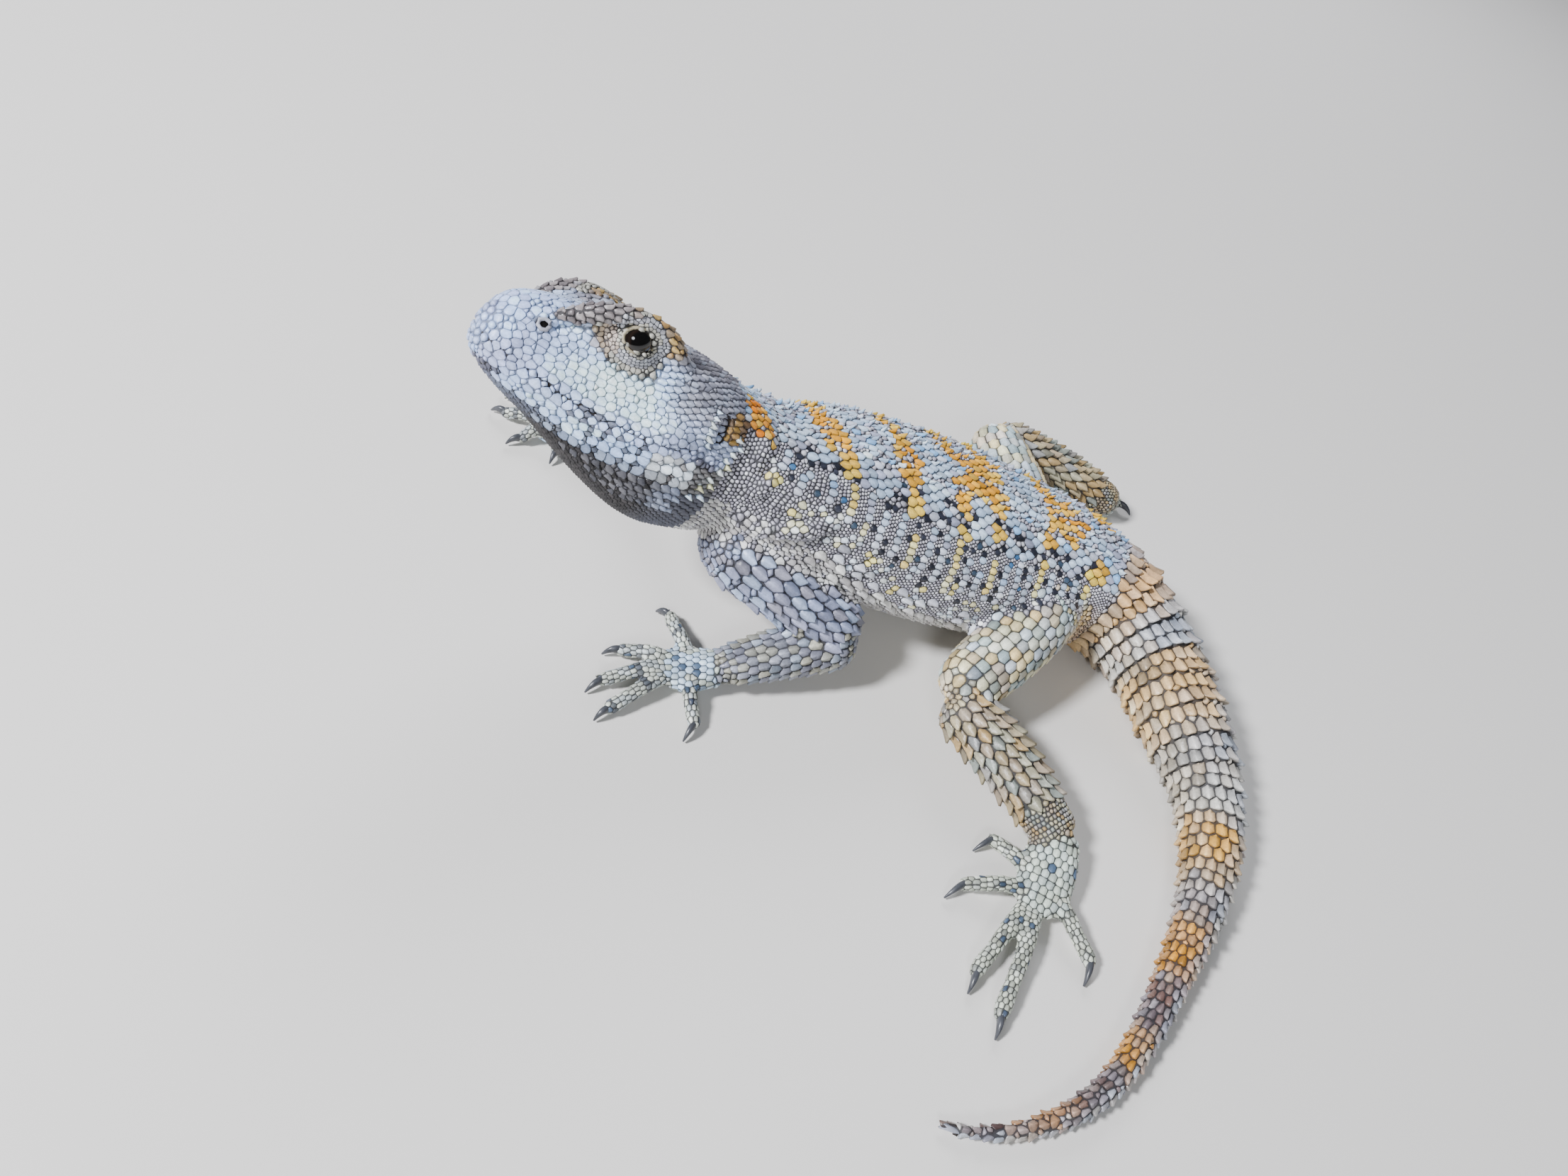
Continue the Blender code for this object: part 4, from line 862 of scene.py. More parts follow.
# %% Fill bare skin
# Random places on the skin get a scale where no row has reached, as in the armpits and creases. Bare
# is more than this share of the nearest scale's width away from its middle.
BARE = [0.72 if name in ("upper", "lower", "foot") else 0.64 for name in REGIONS]
TRIES = 60000
skin_bm.faces.ensure_lookup_table()
areas = np.array([f.calc_area() for f in skin_bm.faces])
picked = rng.choice(len(areas), TRIES, p=areas / areas.sum())
tree = tree_of(seeds["place"])
fill = []
for index in picked:
    face = skin_bm.faces[int(index)]
    place = face.calc_center_median()
    _, j, distance = tree.find(place)
    if distance > BARE[int(seeds["region"][j])] * seeds["width"][j]:
        fill.append((place, face.normal.copy(), j, distance))
print("bare places:", len(fill))
new_place, new_normal, origin, reached = (np.array(values) for values in zip(*fill))
extra = {key: values[origin] for key, values in seeds.items()}
extra["place"], extra["normal"] = new_place, new_normal
extra["width"] = np.clip(2 * (reached - 0.42 * extra["width"]), 0.55, 1.3)
extra["rank"] = np.full(len(fill), 9.0)
extra["kind"] = np.full(len(fill), float(KIND_NAMES.index("bead")))
seeds = {key: np.concatenate([seeds[key], extra[key]]) for key in seeds}
seeds = thin()
print("seeds with fill:", len(seeds["place"]))


# %% Push the seeds apart
NEIGHBOURS = 18
PUSHES, PUSH = 3, 0.6
FIRM, SOFT = 0.12, 0.42  # how much of a push a seed takes; those of a rank up to 2 keep their rows


def neighbours():
    """For each seed, the numbers of the seeds nearest to it."""
    tree = tree_of(seeds["place"])
    found = [tree.find_n(p, NEIGHBOURS + 1) for p in seeds["place"]]
    return np.array([[hit[1] for hit in row[1:]] for row in found])


mobile = np.where(seeds["rank"] <= 2, FIRM, SOFT)
for _ in range(PUSHES):
    near = neighbours()
    away = seeds["place"][:, None] - seeds["place"][near]
    distance = np.linalg.norm(away, axis=2)
    wanted = (seeds["width"][:, None] + seeds["width"][near]) / 2
    push = np.clip(wanted - distance, 0, None) / wanted * mobile[:, None]
    step = (away / np.maximum(distance, 1e-6)[..., None] * push[..., None]).sum(axis=1)
    seeds["place"], seeds["normal"], _ = to_skin(seeds["place"] + step * PUSH)
for key in ("kind", "region", "chart"):
    seeds[key] = seeds[key].astype(int)
print("scales:", len(seeds["place"]), dict(zip(KIND_NAMES, np.bincount(seeds["kind"]).tolist())))

# %% [markdown]
# Cutting each scale's cell
#
# A scale ends half way to each neighbour, or nearer to the smaller of the two. Seen from its middle,
# the edge of its cell in any direction is the nearest of those lines, so rays from the middle find
# the cell's outline. Each point of it is then brought down to the skin, which bends the scale.

# %% Cells
normal = unit(seeds["normal"])
lie = unit(seeds["lie"] - (seeds["lie"] * normal).sum(axis=1)[:, None] * normal)
sideways = np.cross(normal, lie)
near = neighbours()
offset = seeds["place"][near] - seeds["place"][:, None]
flat = np.stack([(offset * lie[:, None]).sum(2), (offset * sideways[:, None]).sum(2)], axis=2)
flat = unit(flat) * np.linalg.norm(offset, axis=2)[..., None]
same_way = (normal[:, None] * normal[near]).sum(2) > 0.0
swell = (seeds["width"][:, None] ** 2 - seeds["width"][near] ** 2) / 4
# Half of the dark line between two scales: wider between large scales, and finer on the face
facial = seeds["region"] == REGIONS.index("head")
gap = np.where(facial, 0.014, 0.02 + 0.018 * seeds["width"])
print("widest line between scales:", round(2 * gap.max(), 3), "mm")
LARGEST = 1.3  # a cell's edge lies at most this many widths from its middle


def outline(part, rays):
    """Distances to the cell's edge along even rays, and the directions of the rays."""
    turn = np.arange(rays) * math.tau / rays
    ray = np.stack([np.cos(turn), np.sin(turn)], axis=1)
    q, ok = flat[part], same_way[part]
    along = np.einsum("njk,rk->nrj", q, ray)
    apart = (q**2).sum(axis=2)
    size = np.clip((apart + swell[part]) / 2, 0.15 * apart, 0.85 * apart)[:, None, :]
    reach = np.where((along > 1e-6) & ok[:, None, :], size / np.maximum(along, 1e-6), np.inf)
    limit = seeds["width"][part][:, None] * LARGEST
    reach = np.minimum(reach.min(axis=2), limit)
    return np.maximum(reach - gap[part][:, None], 0.12), turn


# %% [markdown]
# Colours
#
# The hide is pale blue grey with black dots. Orange bands cross the back and fade to yellow and cream
# on the flanks, the cheeks are almost white with a painted highlight below the eye, the throat is dark,
# partly its own colour and partly painted shade, and the tail is ringed in peach and grey. All of it is
# worked out from length and angle on the body, one colour for each scale.


# %% Palette
def linear(code):
    """A hex colour as linear red, green and blue."""
    channels = [int(code[i : i + 2], 16) / 255 for i in (1, 3, 5)]
    return np.array([c / 12.92 if c <= 0.04045 else ((c + 0.055) / 1.055) ** 2.4 for c in channels])


def mix(a, b, amount):
    """The first colours with a share of the second ones in them."""
    amount = np.clip(np.asarray(amount, float), 0, 1)[..., None]
    return np.asarray(a) * (1 - amount) + np.asarray(b) * amount


def pick(codes, weights=None):
    """One of several colours for each scale."""
    table = np.array([linear(code) for code in codes])
    return table[rng.choice(len(codes), len(colour), p=weights)]


def paint(part, colours):
    """Gives some of the scales their colours."""
    colour[part] = colours[part]


def blend_along(x, stops):
    """Colours interpolated along a line of (place, hex) stops."""
    at = [p for p, _ in stops]
    table = np.array([linear(code) for _, code in stops])
    return np.stack([np.interp(x, at, table[:, k]) for k in range(3)], axis=-1)


colour = np.zeros((len(seeds["place"]), 3))
print("mid grey in linear light:", linear("#808080").round(3))

# %% Bands and rings
# Bands: length at each angle, half width there, and which angles they cover
BANDS = [
    {"angle": (16, 26, 46, 66, 90), "s": (23.4, 23.0, 22.2, 22.2, 20.8), "half": (1.0, 1.4, 1.7, 2.2, 2.7)},
    {"angle": (12, 22, 34, 46, 70, 90), "s": (38.2, 37.8, 37.1, 36.4, 36.0, 36.8),
     "half": (1.0, 1.3, 1.5, 1.8, 2.1, 2.5)},
    {"angle": (12, 30, 48, 64, 76, 84), "s": (48.2, 48.0, 48.0, 48.4, 49.2, 51.0),
     "half": (1.0, 1.3, 1.6, 1.7, 1.9, 2.1)},
    {"angle": (14, 34, 54, 64, 80), "s": (57.2, 57.0, 56.9, 57.4, 58.6), "half": (1.0, 1.3, 1.5, 1.6, 1.8)},
    {"angle": (76, 90), "s": (54.5, 55.5), "half": (4.6, 5.2)},
    {"angle": (20, 42, 60, 76, 82), "s": (69.6, 70.0, 70.4, 72.4, 74.0), "half": (0.9, 1.4, 1.7, 2.1, 2.7)},
    {"angle": (72, 90), "s": (75.0, 76.6), "half": (3.4, 4.8)},
    {"angle": (30, 50, 72), "s": (84.4, 84.8, 85.3), "half": (1.6, 2.2, 2.0)},
]
NAPE = {"angle": (4, 24, 42, 60), "s": (6.8, 6.6, 4.6, 4.0), "half": (1.6, 2.6, 2.6, 1.6)}
# Colours of the bands by angle, and of the tail by length
BAND_STOPS = [(14, "#e9e3bc"), (34, "#ecdc94"), (50, "#ecc766"), (68, "#e4a74c"), (90, "#dd9640")]
TAIL_STOPS = [
    (90, "#c2bfbb"), (93, "#d9ab74"), (100, "#deb076"), (103, "#c9c3bb"), (106, "#b4bac2"),
    (109, "#bfc2c4"), (112, "#dab27a"), (121, "#e0b678"), (126, "#d2bfa6"), (130, "#a9adb2"),
    (134, "#c6b9a6"), (138, "#c8c5be"), (142, "#d6d0c2"), (145, "#dda95c"), (151, "#dcac64"),
    (155, "#cdbba2"), (160, "#a8a09c"), (164, "#b9a08a"), (166, "#da9e4e"), (174, "#d6974a"),
    (177, "#85685c"), (185, "#6a5350"), (188, "#d0954a"), (193, "#cb9148"), (195, "#6a5450"),
    (203, "#74605a"), (207, "#c08f62"), (213, "#b08660"), (216, "#6a5552"), (227, "#7d6a60"),
]


def side_angle(angle):
    """Degrees above the side, the same on the left and on the right."""
    degrees = np.degrees(angle) % 360
    degrees = np.where(degrees > 270, degrees - 360, degrees)
    return np.where(degrees > 90, 180 - degrees, degrees)


def in_band(band, s, degrees):
    """Which scales lie in a band; one that reaches the top of the back goes over it."""
    centre = np.interp(degrees, band["angle"], band["s"])
    half = np.interp(degrees, band["angle"], band["half"])
    within = (degrees >= band["angle"][0]) & ((degrees <= band["angle"][-1]) | (band["angle"][-1] >= 90))
    return (np.abs(s - centre) < half) & within


def patches(places, size, amount, seed):
    """A smooth random field over places, from a few waves in random directions."""
    waves = np.random.default_rng(seed)
    total = np.zeros(len(places))
    for _ in range(8):
        way = waves.normal(size=3)
        total += np.sin(places @ way * math.tau / size + waves.uniform(0, math.tau))
    return np.clip(0.5 + total / 8 * amount, 0, 1)


print("bands:", len(BANDS), "stops along the tail:", len(TAIL_STOPS))

# %% Colour of the trunk
place, s, region = seeds["place"], seeds["s"], seeds["region"]
kind_name = np.array(KIND_NAMES)[seeds["kind"]]
degrees = side_angle(seeds["angle"])
count = len(place)
is_in = {name: region == REGIONS.index(name) for name in REGIONS}
bead = kind_name == "bead"

trunk = is_in["trunk"] | is_in["neck"]
pale = pick(["#b9c8d5", "#a8b8c7", "#cad6df", "#aeb0be", "#8fb3d3", "#c6c8ce"],
            [0.28, 0.2, 0.22, 0.13, 0.08, 0.09])
grey = pick(["#aaa5a9", "#bdb9ba", "#989398", "#cbc8c6"], [0.35, 0.3, 0.2, 0.15])
paint(trunk, mix(pale, pick(["#c4c2c6", "#d2d2d4"]), (44 - degrees) / 40))
paint(trunk & bead, grey)
below = trunk & ~bead & (degrees < -14)
paint(below, pick(["#c6c1ba", "#d4d0c6", "#b5afa9"]))
tubercle = trunk & np.isin(seeds["rank"], (YELLOW_RANK, PALE_RANK))
paint(tubercle, pick(["#dfe4e8", "#e6e4d4", "#d3dce6", "#e6dcae"], [0.4, 0.2, 0.25, 0.15]))
yellow = trunk & (seeds["rank"] == YELLOW_RANK)
paint(yellow, pick(["#e9e2bc", "#e7d58c", "#e2e3dc"], [0.4, 0.35, 0.25]))
print("scales of neck and trunk:", trunk.sum(), "with tubercles:", tubercle.sum())

# %% Bands and dots of the trunk
band_colour = blend_along(degrees, BAND_STOPS) * rng.uniform(0.84, 1.12, (count, 1))
wavy = s + 0.5 * np.sin(place[:, 2] * 1.7 + place[:, 1])
for band in BANDS:
    hit = trunk & ~bead & in_band(band, wavy, degrees)
    paint(hit, mix(band_colour, linear("#eec668"), rng.random(count) ** 3 * 0.8))
nape = trunk & in_band(NAPE, s + rng.normal(0, 0.4, count), degrees) & ~bead
paint(nape, pick(["#e0a04e", "#da7f38", "#e7b65c", "#d6904a"]))
dot = trunk & (seeds["rank"] == BLACK_RANK) & ~nape
paint(dot, pick(["#26272e", "#31323a", "#3a4652", "#466685"], [0.55, 0.27, 0.12, 0.06]))
print("dots:", dot.sum(), "scales of the nape:", nape.sum())

# %% Colour of the tail
tail = is_in["tail"]
dulled = s + rng.normal(0, 0.8, count)
paint(tail, blend_along(dulled, TAIL_STOPS))
# The far side turns cool grey and the near side paler cream: partly the tail's own colours, partly painted
# shade on the far side and painted light on the near side.
cool = pick(["#c6cdd3", "#aeb4be", "#d6d4cc"])
round_degrees = np.degrees(seeds["angle"]) % 360
far_side = np.clip((round_degrees - 95) / 40, 0, 1) * (round_degrees < 230)
paint(tail, mix(colour, cool, np.clip(rng.normal(0.12, 0.12, count) + 0.5 * far_side, 0, 0.75)))
near_side = np.clip((70 - degrees) / 50, 0, 1) * (1 - far_side) * np.clip((150 - s) / 10, 0, 1)
paint(tail, mix(colour, pick(["#dcc8a0", "#d9cdb4", "#dfba84"]), near_side * 0.5))
print("scales of the tail:", tail.sum())

# %% Colour of the head
head_back, head_left, head_up = from_head(place)
head = is_in["head"] | is_in["lid"] | is_in["throat"] | is_in["brow"]
field = patches(place, 7.0, 2.2, 21)
white = mix(linear("#b9c6d6"), linear("#d3dce4"), field)
brown = pick(["#8b817c", "#7a716e", "#9b918b", "#a59f9c"])
snout = mix(linear("#a09fac"), linear("#b4bfd0"), field)
crown = np.clip((head_up - 5.0) / 3.0, 0, 1) * np.clip((head_back - 9) / 6, 0, 1)
temple = np.clip((head_back - 25) / 4, 0, 1) * np.clip((head_up + 0.5) / 2.5, 0, 1)
# A painted highlight on the cheek below the eye, where the light falls most strongly
painted_cheek_highlight = np.exp(-((head_back - 19) ** 2) / 70 - (head_up - 1.0) ** 2 / 14)
tone = mix(white, linear("#e3ebf3"), painted_cheek_highlight * 0.8)
tone = mix(tone, linear("#aaa3a6"), np.clip((head_back - 26) / 7, 0, 0.6))
tone = mix(tone, snout, np.clip(1.4 - head_back / 10, 0, 1))
paint(head, mix(tone, brown, np.maximum(crown, temple * 0.85)))
print("scales of the head:", head.sum())

# %% Colour of the jaws and throat
beside_mouth = head_up - np.interp(head_back, *zip(*MOUTH_LINE))
lips = head & (np.abs(beside_mouth) < 1.7)
paint(lips, mix(colour, pick(["#b3afbb", "#a7a6b2", "#bcbcc6"]), 0.5))
jaw_end = head & (head_back > 27) & (beside_mouth < -1.8) & (beside_mouth > -6.5)
paint(jaw_end, pick(["#d9d6cb", "#cfc9bb", "#c6bfb4", "#e0ddd2"]))
# Darker below the line of the mouth: partly the throat's own dark colour, partly painted shade on the
# underside of the head
under = np.clip((-4.1 - beside_mouth) / 1.8, 0, 1) * np.clip((38 - head_back) / 8, 0.35, 1)
paint(head, mix(colour, pick(["#4d4846", "#5a5450", "#413d3c"]), under))
print("scales of the lips:", lips.sum())

# %% Colour of the brow, lids and tufts
brow_rear = np.clip((head_back - 16) / 3, 0, 1) * np.clip((28 - head_back) / 2, 0, 1)
ochre = pick(["#c9a05e", "#d6b06c", "#a08a6c", "#b78d52"])
paint(is_in["brow"], mix(brown, ochre, brow_rear * 0.8))
ring = eye_ring(head_back, head_up)
fine = pick(["#b0aeb0", "#bfbebe", "#a19e9f"])
creamy = pick(["#aaa492", "#b7b09c", "#99937f"])
paint(is_in["lid"], mix(fine, creamy, np.where(ring < 1.32, 0.8, 0.7 * (ring > 1.95))))
front_of_eye = head & (np.hypot(head_back - 15.0, (head_up - 6.8) * 0.8) < 2.0) & (ring > 1.3)
paint(front_of_eye, mix(colour, pick(["#c2a684", "#b39474"]), 0.55))
behind_ear = (head | trunk) & (np.hypot(head_back - 39.2, (head_up - 1.8) * 0.7) < 2.0)
paint(behind_ear, pick(["#94703f", "#a98050", "#7a6048"]))
tuft = (kind_name == "spine") & head
paint(tuft, pick(["#d5d9d9", "#d3cfbc", "#c4c5c3", "#dccf9c"]))
print("scales of the lids:", is_in["lid"].sum(), "of the brows:", is_in["brow"].sum())

# %% Colour of the limbs
LIMB_COLOURS = {
    ("arm", "upper"): ["#b3b5c4", "#a3a2ae", "#c2c8d3", "#b5b0b9", "#aaa2a4"],
    ("arm", "lower"): ["#b6b4b8", "#c9c3b2", "#a4a1a8", "#c6bea8", "#b7bcc3"],
    ("arm", "foot"): ["#cfd4d6", "#d9dad4", "#c4cbd0", "#dad4bc"],
    ("arm", "digit"): ["#d3cdb8", "#ddd6c0", "#c6c3b8"],
    ("leg", "upper"): ["#d6d4bc", "#ded8b2", "#bac6ba", "#ddcc9c", "#c2cac6", "#cbd3d4", "#a9b8b4"],
    ("leg", "lower"): ["#d6cfae", "#dcd3ae", "#bcc1b0", "#c2c0b6", "#dabb88", "#cdc7b8"],
    ("leg", "foot"): ["#dcd6bb", "#e2dcc4", "#cdc9b6"],
    ("leg", "digit"): ["#d8d2b8", "#dfd9c2", "#c6c0a8"],
}
chart_name = np.array(CHARTS)[seeds["chart"]]
of_arm, of_leg = (np.char.startswith(chart_name, limb) for limb in ("arm", "leg"))
warm = patches(place, 11.0, 2.4, 8) ** 2 * 0.5
for (limb, part), codes in LIMB_COLOURS.items():
    hit = is_in[part] & (of_arm if limb == "arm" else of_leg)
    paint(hit, pick(codes))
    dark = hit & (rng.random(count) < (0.05 if part in ("foot", "digit") else 0.004))
    colour[dark] = linear("#59636f")
paint(of_leg & (is_in["upper"] | is_in["lower"]), mix(colour, linear("#dcb478"), warm))
groin = SPINE.points(np.array([86.0]), math.radians(-8))[0]
golden = np.clip(1.25 - np.linalg.norm(place - groin, axis=1) / 7.0, 0, 1) * 0.75
colour = mix(colour, pick(["#b98a4e", "#c99c60", "#d3b27c"]), golden)
banded = is_in["digit"] & (np.sin(s * math.tau / 3.6) > 0.72) & (s > 3) & (rng.random(count) < 0.85)
paint(banded, mix(colour, linear("#45464e"), np.where(of_arm, 0.82, 0.4)))
print("scales of arms:", of_arm.sum(), "of legs:", of_leg.sum())

# %% Cast of each region
colour *= mix([0.9] * 3, [1.1] * 3, patches(place, 14.0, 1.6, 3))
# Every scale's brightness differs at random: partly its own tone, partly painted light, as if each scale
# were tilted a little towards or away from the lamp.
colour *= rng.normal(1.0, np.where(head, 0.08, 0.17)[:, None])
DEPTH_OF_COLOUR = 1.13
# How much red, green and blue each region keeps: the head and hands are the bluest, partly for the cool
# light on them, which is painted in; the throat's deep cast is partly its own dark colour and partly painted
# shade.
CAST = {
    "trunk": (0.93, 0.97, 1.04), "neck": (0.88, 0.92, 0.99), "tail": (0.80, 0.82, 0.86),
    "head": (0.95, 1.10, 1.37), "throat": (0.27, 0.28, 0.33), "brow": (0.80, 0.84, 0.92),
    "lid": (0.92, 0.96, 1.02), "upper": (0.58, 0.65, 0.77), "lower": (0.53, 0.57, 0.63),
    "foot": (0.70, 0.84, 1.00), "digit": (0.72, 0.82, 0.94),
}
LEG_CAST = {"upper": (0.92, 0.96, 1.06), "lower": (0.47, 0.49, 0.55)}
cast = np.array([CAST[name] for name in REGIONS])[region]
for part, share in LEG_CAST.items():
    cast[is_in[part] & of_leg] = share
plain = colour.mean(axis=1, keepdims=True)
colour = np.clip((plain + (colour - plain) * DEPTH_OF_COLOUR) * cast, 0.005, 1)
print("coloured", count, "scales")

# %% [markdown]
# Building the scales
#
# A scale is a sunk rim, a raised rim and a crown, joined ring to ring. A keel lifts the middle line,
# and on spiny scales the rear edge runs out over the next one and stands up. Thousands of them are
# made at once as arrays, because one operator call for each would take too long.


# %% Painted shade and faces of a scale
# Flat kinds get a lighter painted shade on their edges
FLAT_KINDS = ("smooth", "tile")  # their edges slope less and stay lighter


def painted_scale_shading(kind, ahead, keel):
    """Painted shade and highlight of a scale, as shares of its colour from rim to top: painted shade at the
    rim and on the front, which lies under the scale ahead, and a painted highlight on the crown, keel and
    top.
    """
    rays = len(ahead)
    if kind == "bead":
        return np.concatenate([np.full(rays, 0.15), np.full(rays, 0.86), [1.25]])
    ridged = min(1.0, KINDS[kind]["keel"] * 6)
    rearward = np.clip(ahead, 0, 1)
    soft = 0.34 if kind in FLAT_KINDS else 0.0
    on_edge = 0.27 + soft + (0.42 - soft) * rearward
    on_crown = 0.92 - 0.2 * ridged + 0.5 * ridged * keel + 0.2 * rearward
    return np.concatenate([np.full(rays, 0.12 + soft), on_edge, on_crown, [1.18]])


def scale_faces(rays, levels, scales):
    """Point numbers of the quads between rings, of the triangles round the top, and of the base."""
    k = np.arange(rays)
    following = (k + 1) % rays
    first = (np.arange(scales) * (rays * levels + 1))[:, None, None]
    last = (levels - 1) * rays
    quads = np.concatenate([
        np.stack([r + k, r + following, r + rays + following, r + rays + k], axis=1)
        for r in range(0, last, rays)
    ])
    tris = np.stack([last + k, last + following, np.full(rays, rays * levels)], axis=1)
    base = k[::-1][None] + first[..., 0]
    return (quads[None] + first).reshape(-1, 4), (tris[None] + first).reshape(-1, 3), base.reshape(-1)


# %% Scale meshes
BEVEL = 0.07  # least width of the sloping edge of a scale
NARROW = 22  # power that makes the keel a narrow ridge
SUNK = 0.22  # how deep the rim goes into the skin, as a share of the width


def scale_mesh(part, kind):
    """Points, colours with painted shade and highlight, and faces of many scales of one kind."""
    form = KINDS[kind]
    reach, turn = outline(part, form["rays"])
    middle, n = seeds["place"][part], normal[part]
    ways = lie[part][:, None] * np.cos(turn)[None, :, None]
    ways = ways + sideways[part][:, None] * np.sin(turn)[None, :, None]
    rim = middle[:, None] + ways * reach[..., None]
    rim = to_skin(rim.reshape(-1, 3))[0].reshape(rim.shape) if kind != "bead" else rim
    width = np.minimum(seeds["width"][part], reach.mean(axis=1) * 2.1)
    high = form["high"] * width * rng.uniform(0.85, 1.15, len(width))
    ahead = np.cos(turn)
    rear = np.clip(ahead, 0, 1) ** form["point"]
    front = np.clip(-ahead, 0, 1)
    keel = np.abs(ahead) ** NARROW
    out = rim - middle[:, None]
    over = 1 + form["reach"] * rear[None, :]
    up = n[:, None]
    w = width[:, None]
    lifted = form["lift"] * w * (rear - 0.35 * front)

    def ring(share, height):
        return middle[:, None] + out * (share * over)[..., None] + up * height[..., None]

    rings = [middle[:, None] + out * 0.97 - up * (SUNK * np.minimum(w, 1.2))[..., None]]
    if kind == "bead":
        rings.append(ring(0.78, high[:, None] * 0.62 + lifted))
    else:
        inner = np.clip(1 - (BEVEL + 0.05 * w) / reach.mean(axis=1, keepdims=True), 0.74, 0.92)
        rings.append(ring(1.0, high[:, None] * (0.55 if kind in FLAT_KINDS else 0.35) + lifted))
        rings.append(ring(inner, high[:, None] * 0.9 + lifted * 0.75 + form["keel"] * w * keel * 0.8))
    top = middle + n * (high + form["keel"] * width * 0.8)[:, None]
    points = np.concatenate([*rings, top[:, None]], axis=1)
    # Each scale's colour times its painted shade and highlight
    colours_with_painted_shade = colour[part][:, None] * painted_scale_shading(kind, ahead, keel)[None, :, None]
    away = points - middle[:, None]
    lay = np.stack([
        (away * lie[part][:, None]).sum(2),
        (away * sideways[part][:, None]).sum(2),
        np.broadcast_to(rng.uniform(0, 90, len(middle))[:, None], points.shape[:2]),
    ], axis=2)
    return points, colours_with_painted_shade, lay, *scale_faces(len(turn), len(rings), len(middle))


# %% A flat map of the hide
# Each tube is unrolled to its own strip, and the strips are laid on shelves in the unit square. A
# scale takes a patch about 0.003 across where its root is, so a baked picture keeps its colour.
UNROLLED = 245.0  # millimetres of hide across the whole map
PATCH = 0.003  # of the map, across one scale
strips, shelf_x, shelf_y, shelf_high = {}, 0.0, 0.0, 0.0
for name in sorted(lofts, key=lambda key: -float(lofts[key].rows[:, 3].max())):
    loft = lofts[name]
    wide = loft.length / UNROLLED
    high = math.tau * float(loft.rows[:, 3:6].max(axis=0).mean()) / UNROLLED
    if shelf_x + wide > 1.0:
        shelf_x, shelf_y, shelf_high = 0.0, shelf_y + shelf_high, 0.0
    strips[name] = (shelf_x, shelf_y, wide, high)
    shelf_x += wide
    shelf_high = max(shelf_high, high)
print("map height used:", round(shelf_y + shelf_high, 3))


def root_uv(part):
    """Where the roots of some scales lie on the map."""
    table = np.array([strips[name] for name in CHARTS])[seeds["chart"][part]]
    long = np.array([lofts[name].length for name in CHARTS])[seeds["chart"][part]]
    u = table[:, 0] + table[:, 2] * np.clip(seeds["s"][part] / long, 0, 1)
    v = table[:, 1] + table[:, 3] * ((seeds["angle"][part] / math.tau) % 1.0)
    return np.stack([u, v], axis=1)


# %% Join the scales of each region into pieces
def to_frame(points):
    """From the tables' millimetres to the solids' metres."""
    return (np.asarray(points, float) + SHIFT) * MM


def mark_points(mesh, colours):
    """Stores a colour for each point, markings with painted shade in them, which the materials read as
    MarkingsAndPaintedShade.
    """
    rgba = np.concatenate([np.clip(colours, 0, 1), np.ones((len(colours), 1))], axis=1)
    attribute = mesh.color_attributes.new("MarkingsAndPaintedShade", "FLOAT_COLOR", "POINT")
    attribute.data.foreach_set("color", rgba.astype(np.float32).ravel())


def finished_piece(name, mesh, material):
    """An object of a finished mesh, which rides on the animal's one body."""
    mesh.shade_smooth()
    mesh.materials.append(material)
    piece = bpy.data.objects.new(name, mesh)
    bpy.context.scene.collection.objects.link(piece)
    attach(piece, "root")
    return piece


def scale_piece(name, part, material):
    """One mesh object that holds all chosen scales."""
    points, colours_with_painted_shade, lays, uvs, faces = [], [], [], [], []
    start = 0
    for index, kind in enumerate(KIND_NAMES):
        here = np.nonzero(part & (seeds["kind"] == index))[0]
        if not len(here):
            continue
        p, c, lay, quads, tris, base = scale_mesh(here, kind)
        local = lay[..., :2] / (seeds["width"][here][:, None, None] * LARGEST) * PATCH
        uvs.append((root_uv(here)[:, None] + np.clip(local, -PATCH / 2, PATCH / 2)).reshape(-1, 2))
        points.append(p.reshape(-1, 3))
        colours_with_painted_shade.append(c.reshape(-1, 3))
        lays.append(lay.reshape(-1, 3))
        faces += [(quads.ravel() + start, 4), (tris.ravel() + start, 3), (base + start, KINDS[kind]["rays"])]
        start += p.shape[0] * p.shape[1]
    points, colours_with_painted_shade, lays, uvs = (np.concatenate(values) for values in (points, colours_with_painted_shade, lays, uvs))
    points[:, 2] = np.maximum(points[:, 2], 0.0)
    corners = np.concatenate([c for c, _ in faces]).astype(np.int32)
    sizes = np.concatenate([np.full(len(c) // n, n) for c, n in faces])
    starts = np.concatenate([[0], np.cumsum(sizes)[:-1]])
    mesh = bpy.data.meshes.new(name)
    mesh.vertices.add(len(points))
    mesh.vertices.foreach_set("co", to_frame(points).astype(np.float32).ravel())
    mesh.loops.add(len(corners))
    mesh.loops.foreach_set("vertex_index", corners)
    mesh.polygons.add(len(starts))
    mesh.polygons.foreach_set("loop_start", starts.astype(np.int32))
    mesh.update(calc_edges=True)
    mesh.validate()
    mark_points(mesh, colours_with_painted_shade)
    attribute = mesh.attributes.new("Lay", "FLOAT_VECTOR", "POINT")
    attribute.data.foreach_set("vector", lays.astype(np.float32).ravel())
    layer = mesh.uv_layers.new(name="OFBake")
    layer.data.foreach_set("uv", uvs[corners].astype(np.float32).ravel())
    finished_piece(name, mesh, material)
    print(name, "triangles:", int((sizes - 2).sum()))


# %% [markdown]
# Finishes
#
# Scales are keratin: dry, slightly waxy plates with a faint grain. The hide between them is the same
# stuff, thinner and dull. The eye is wet, and claws are dark horn.


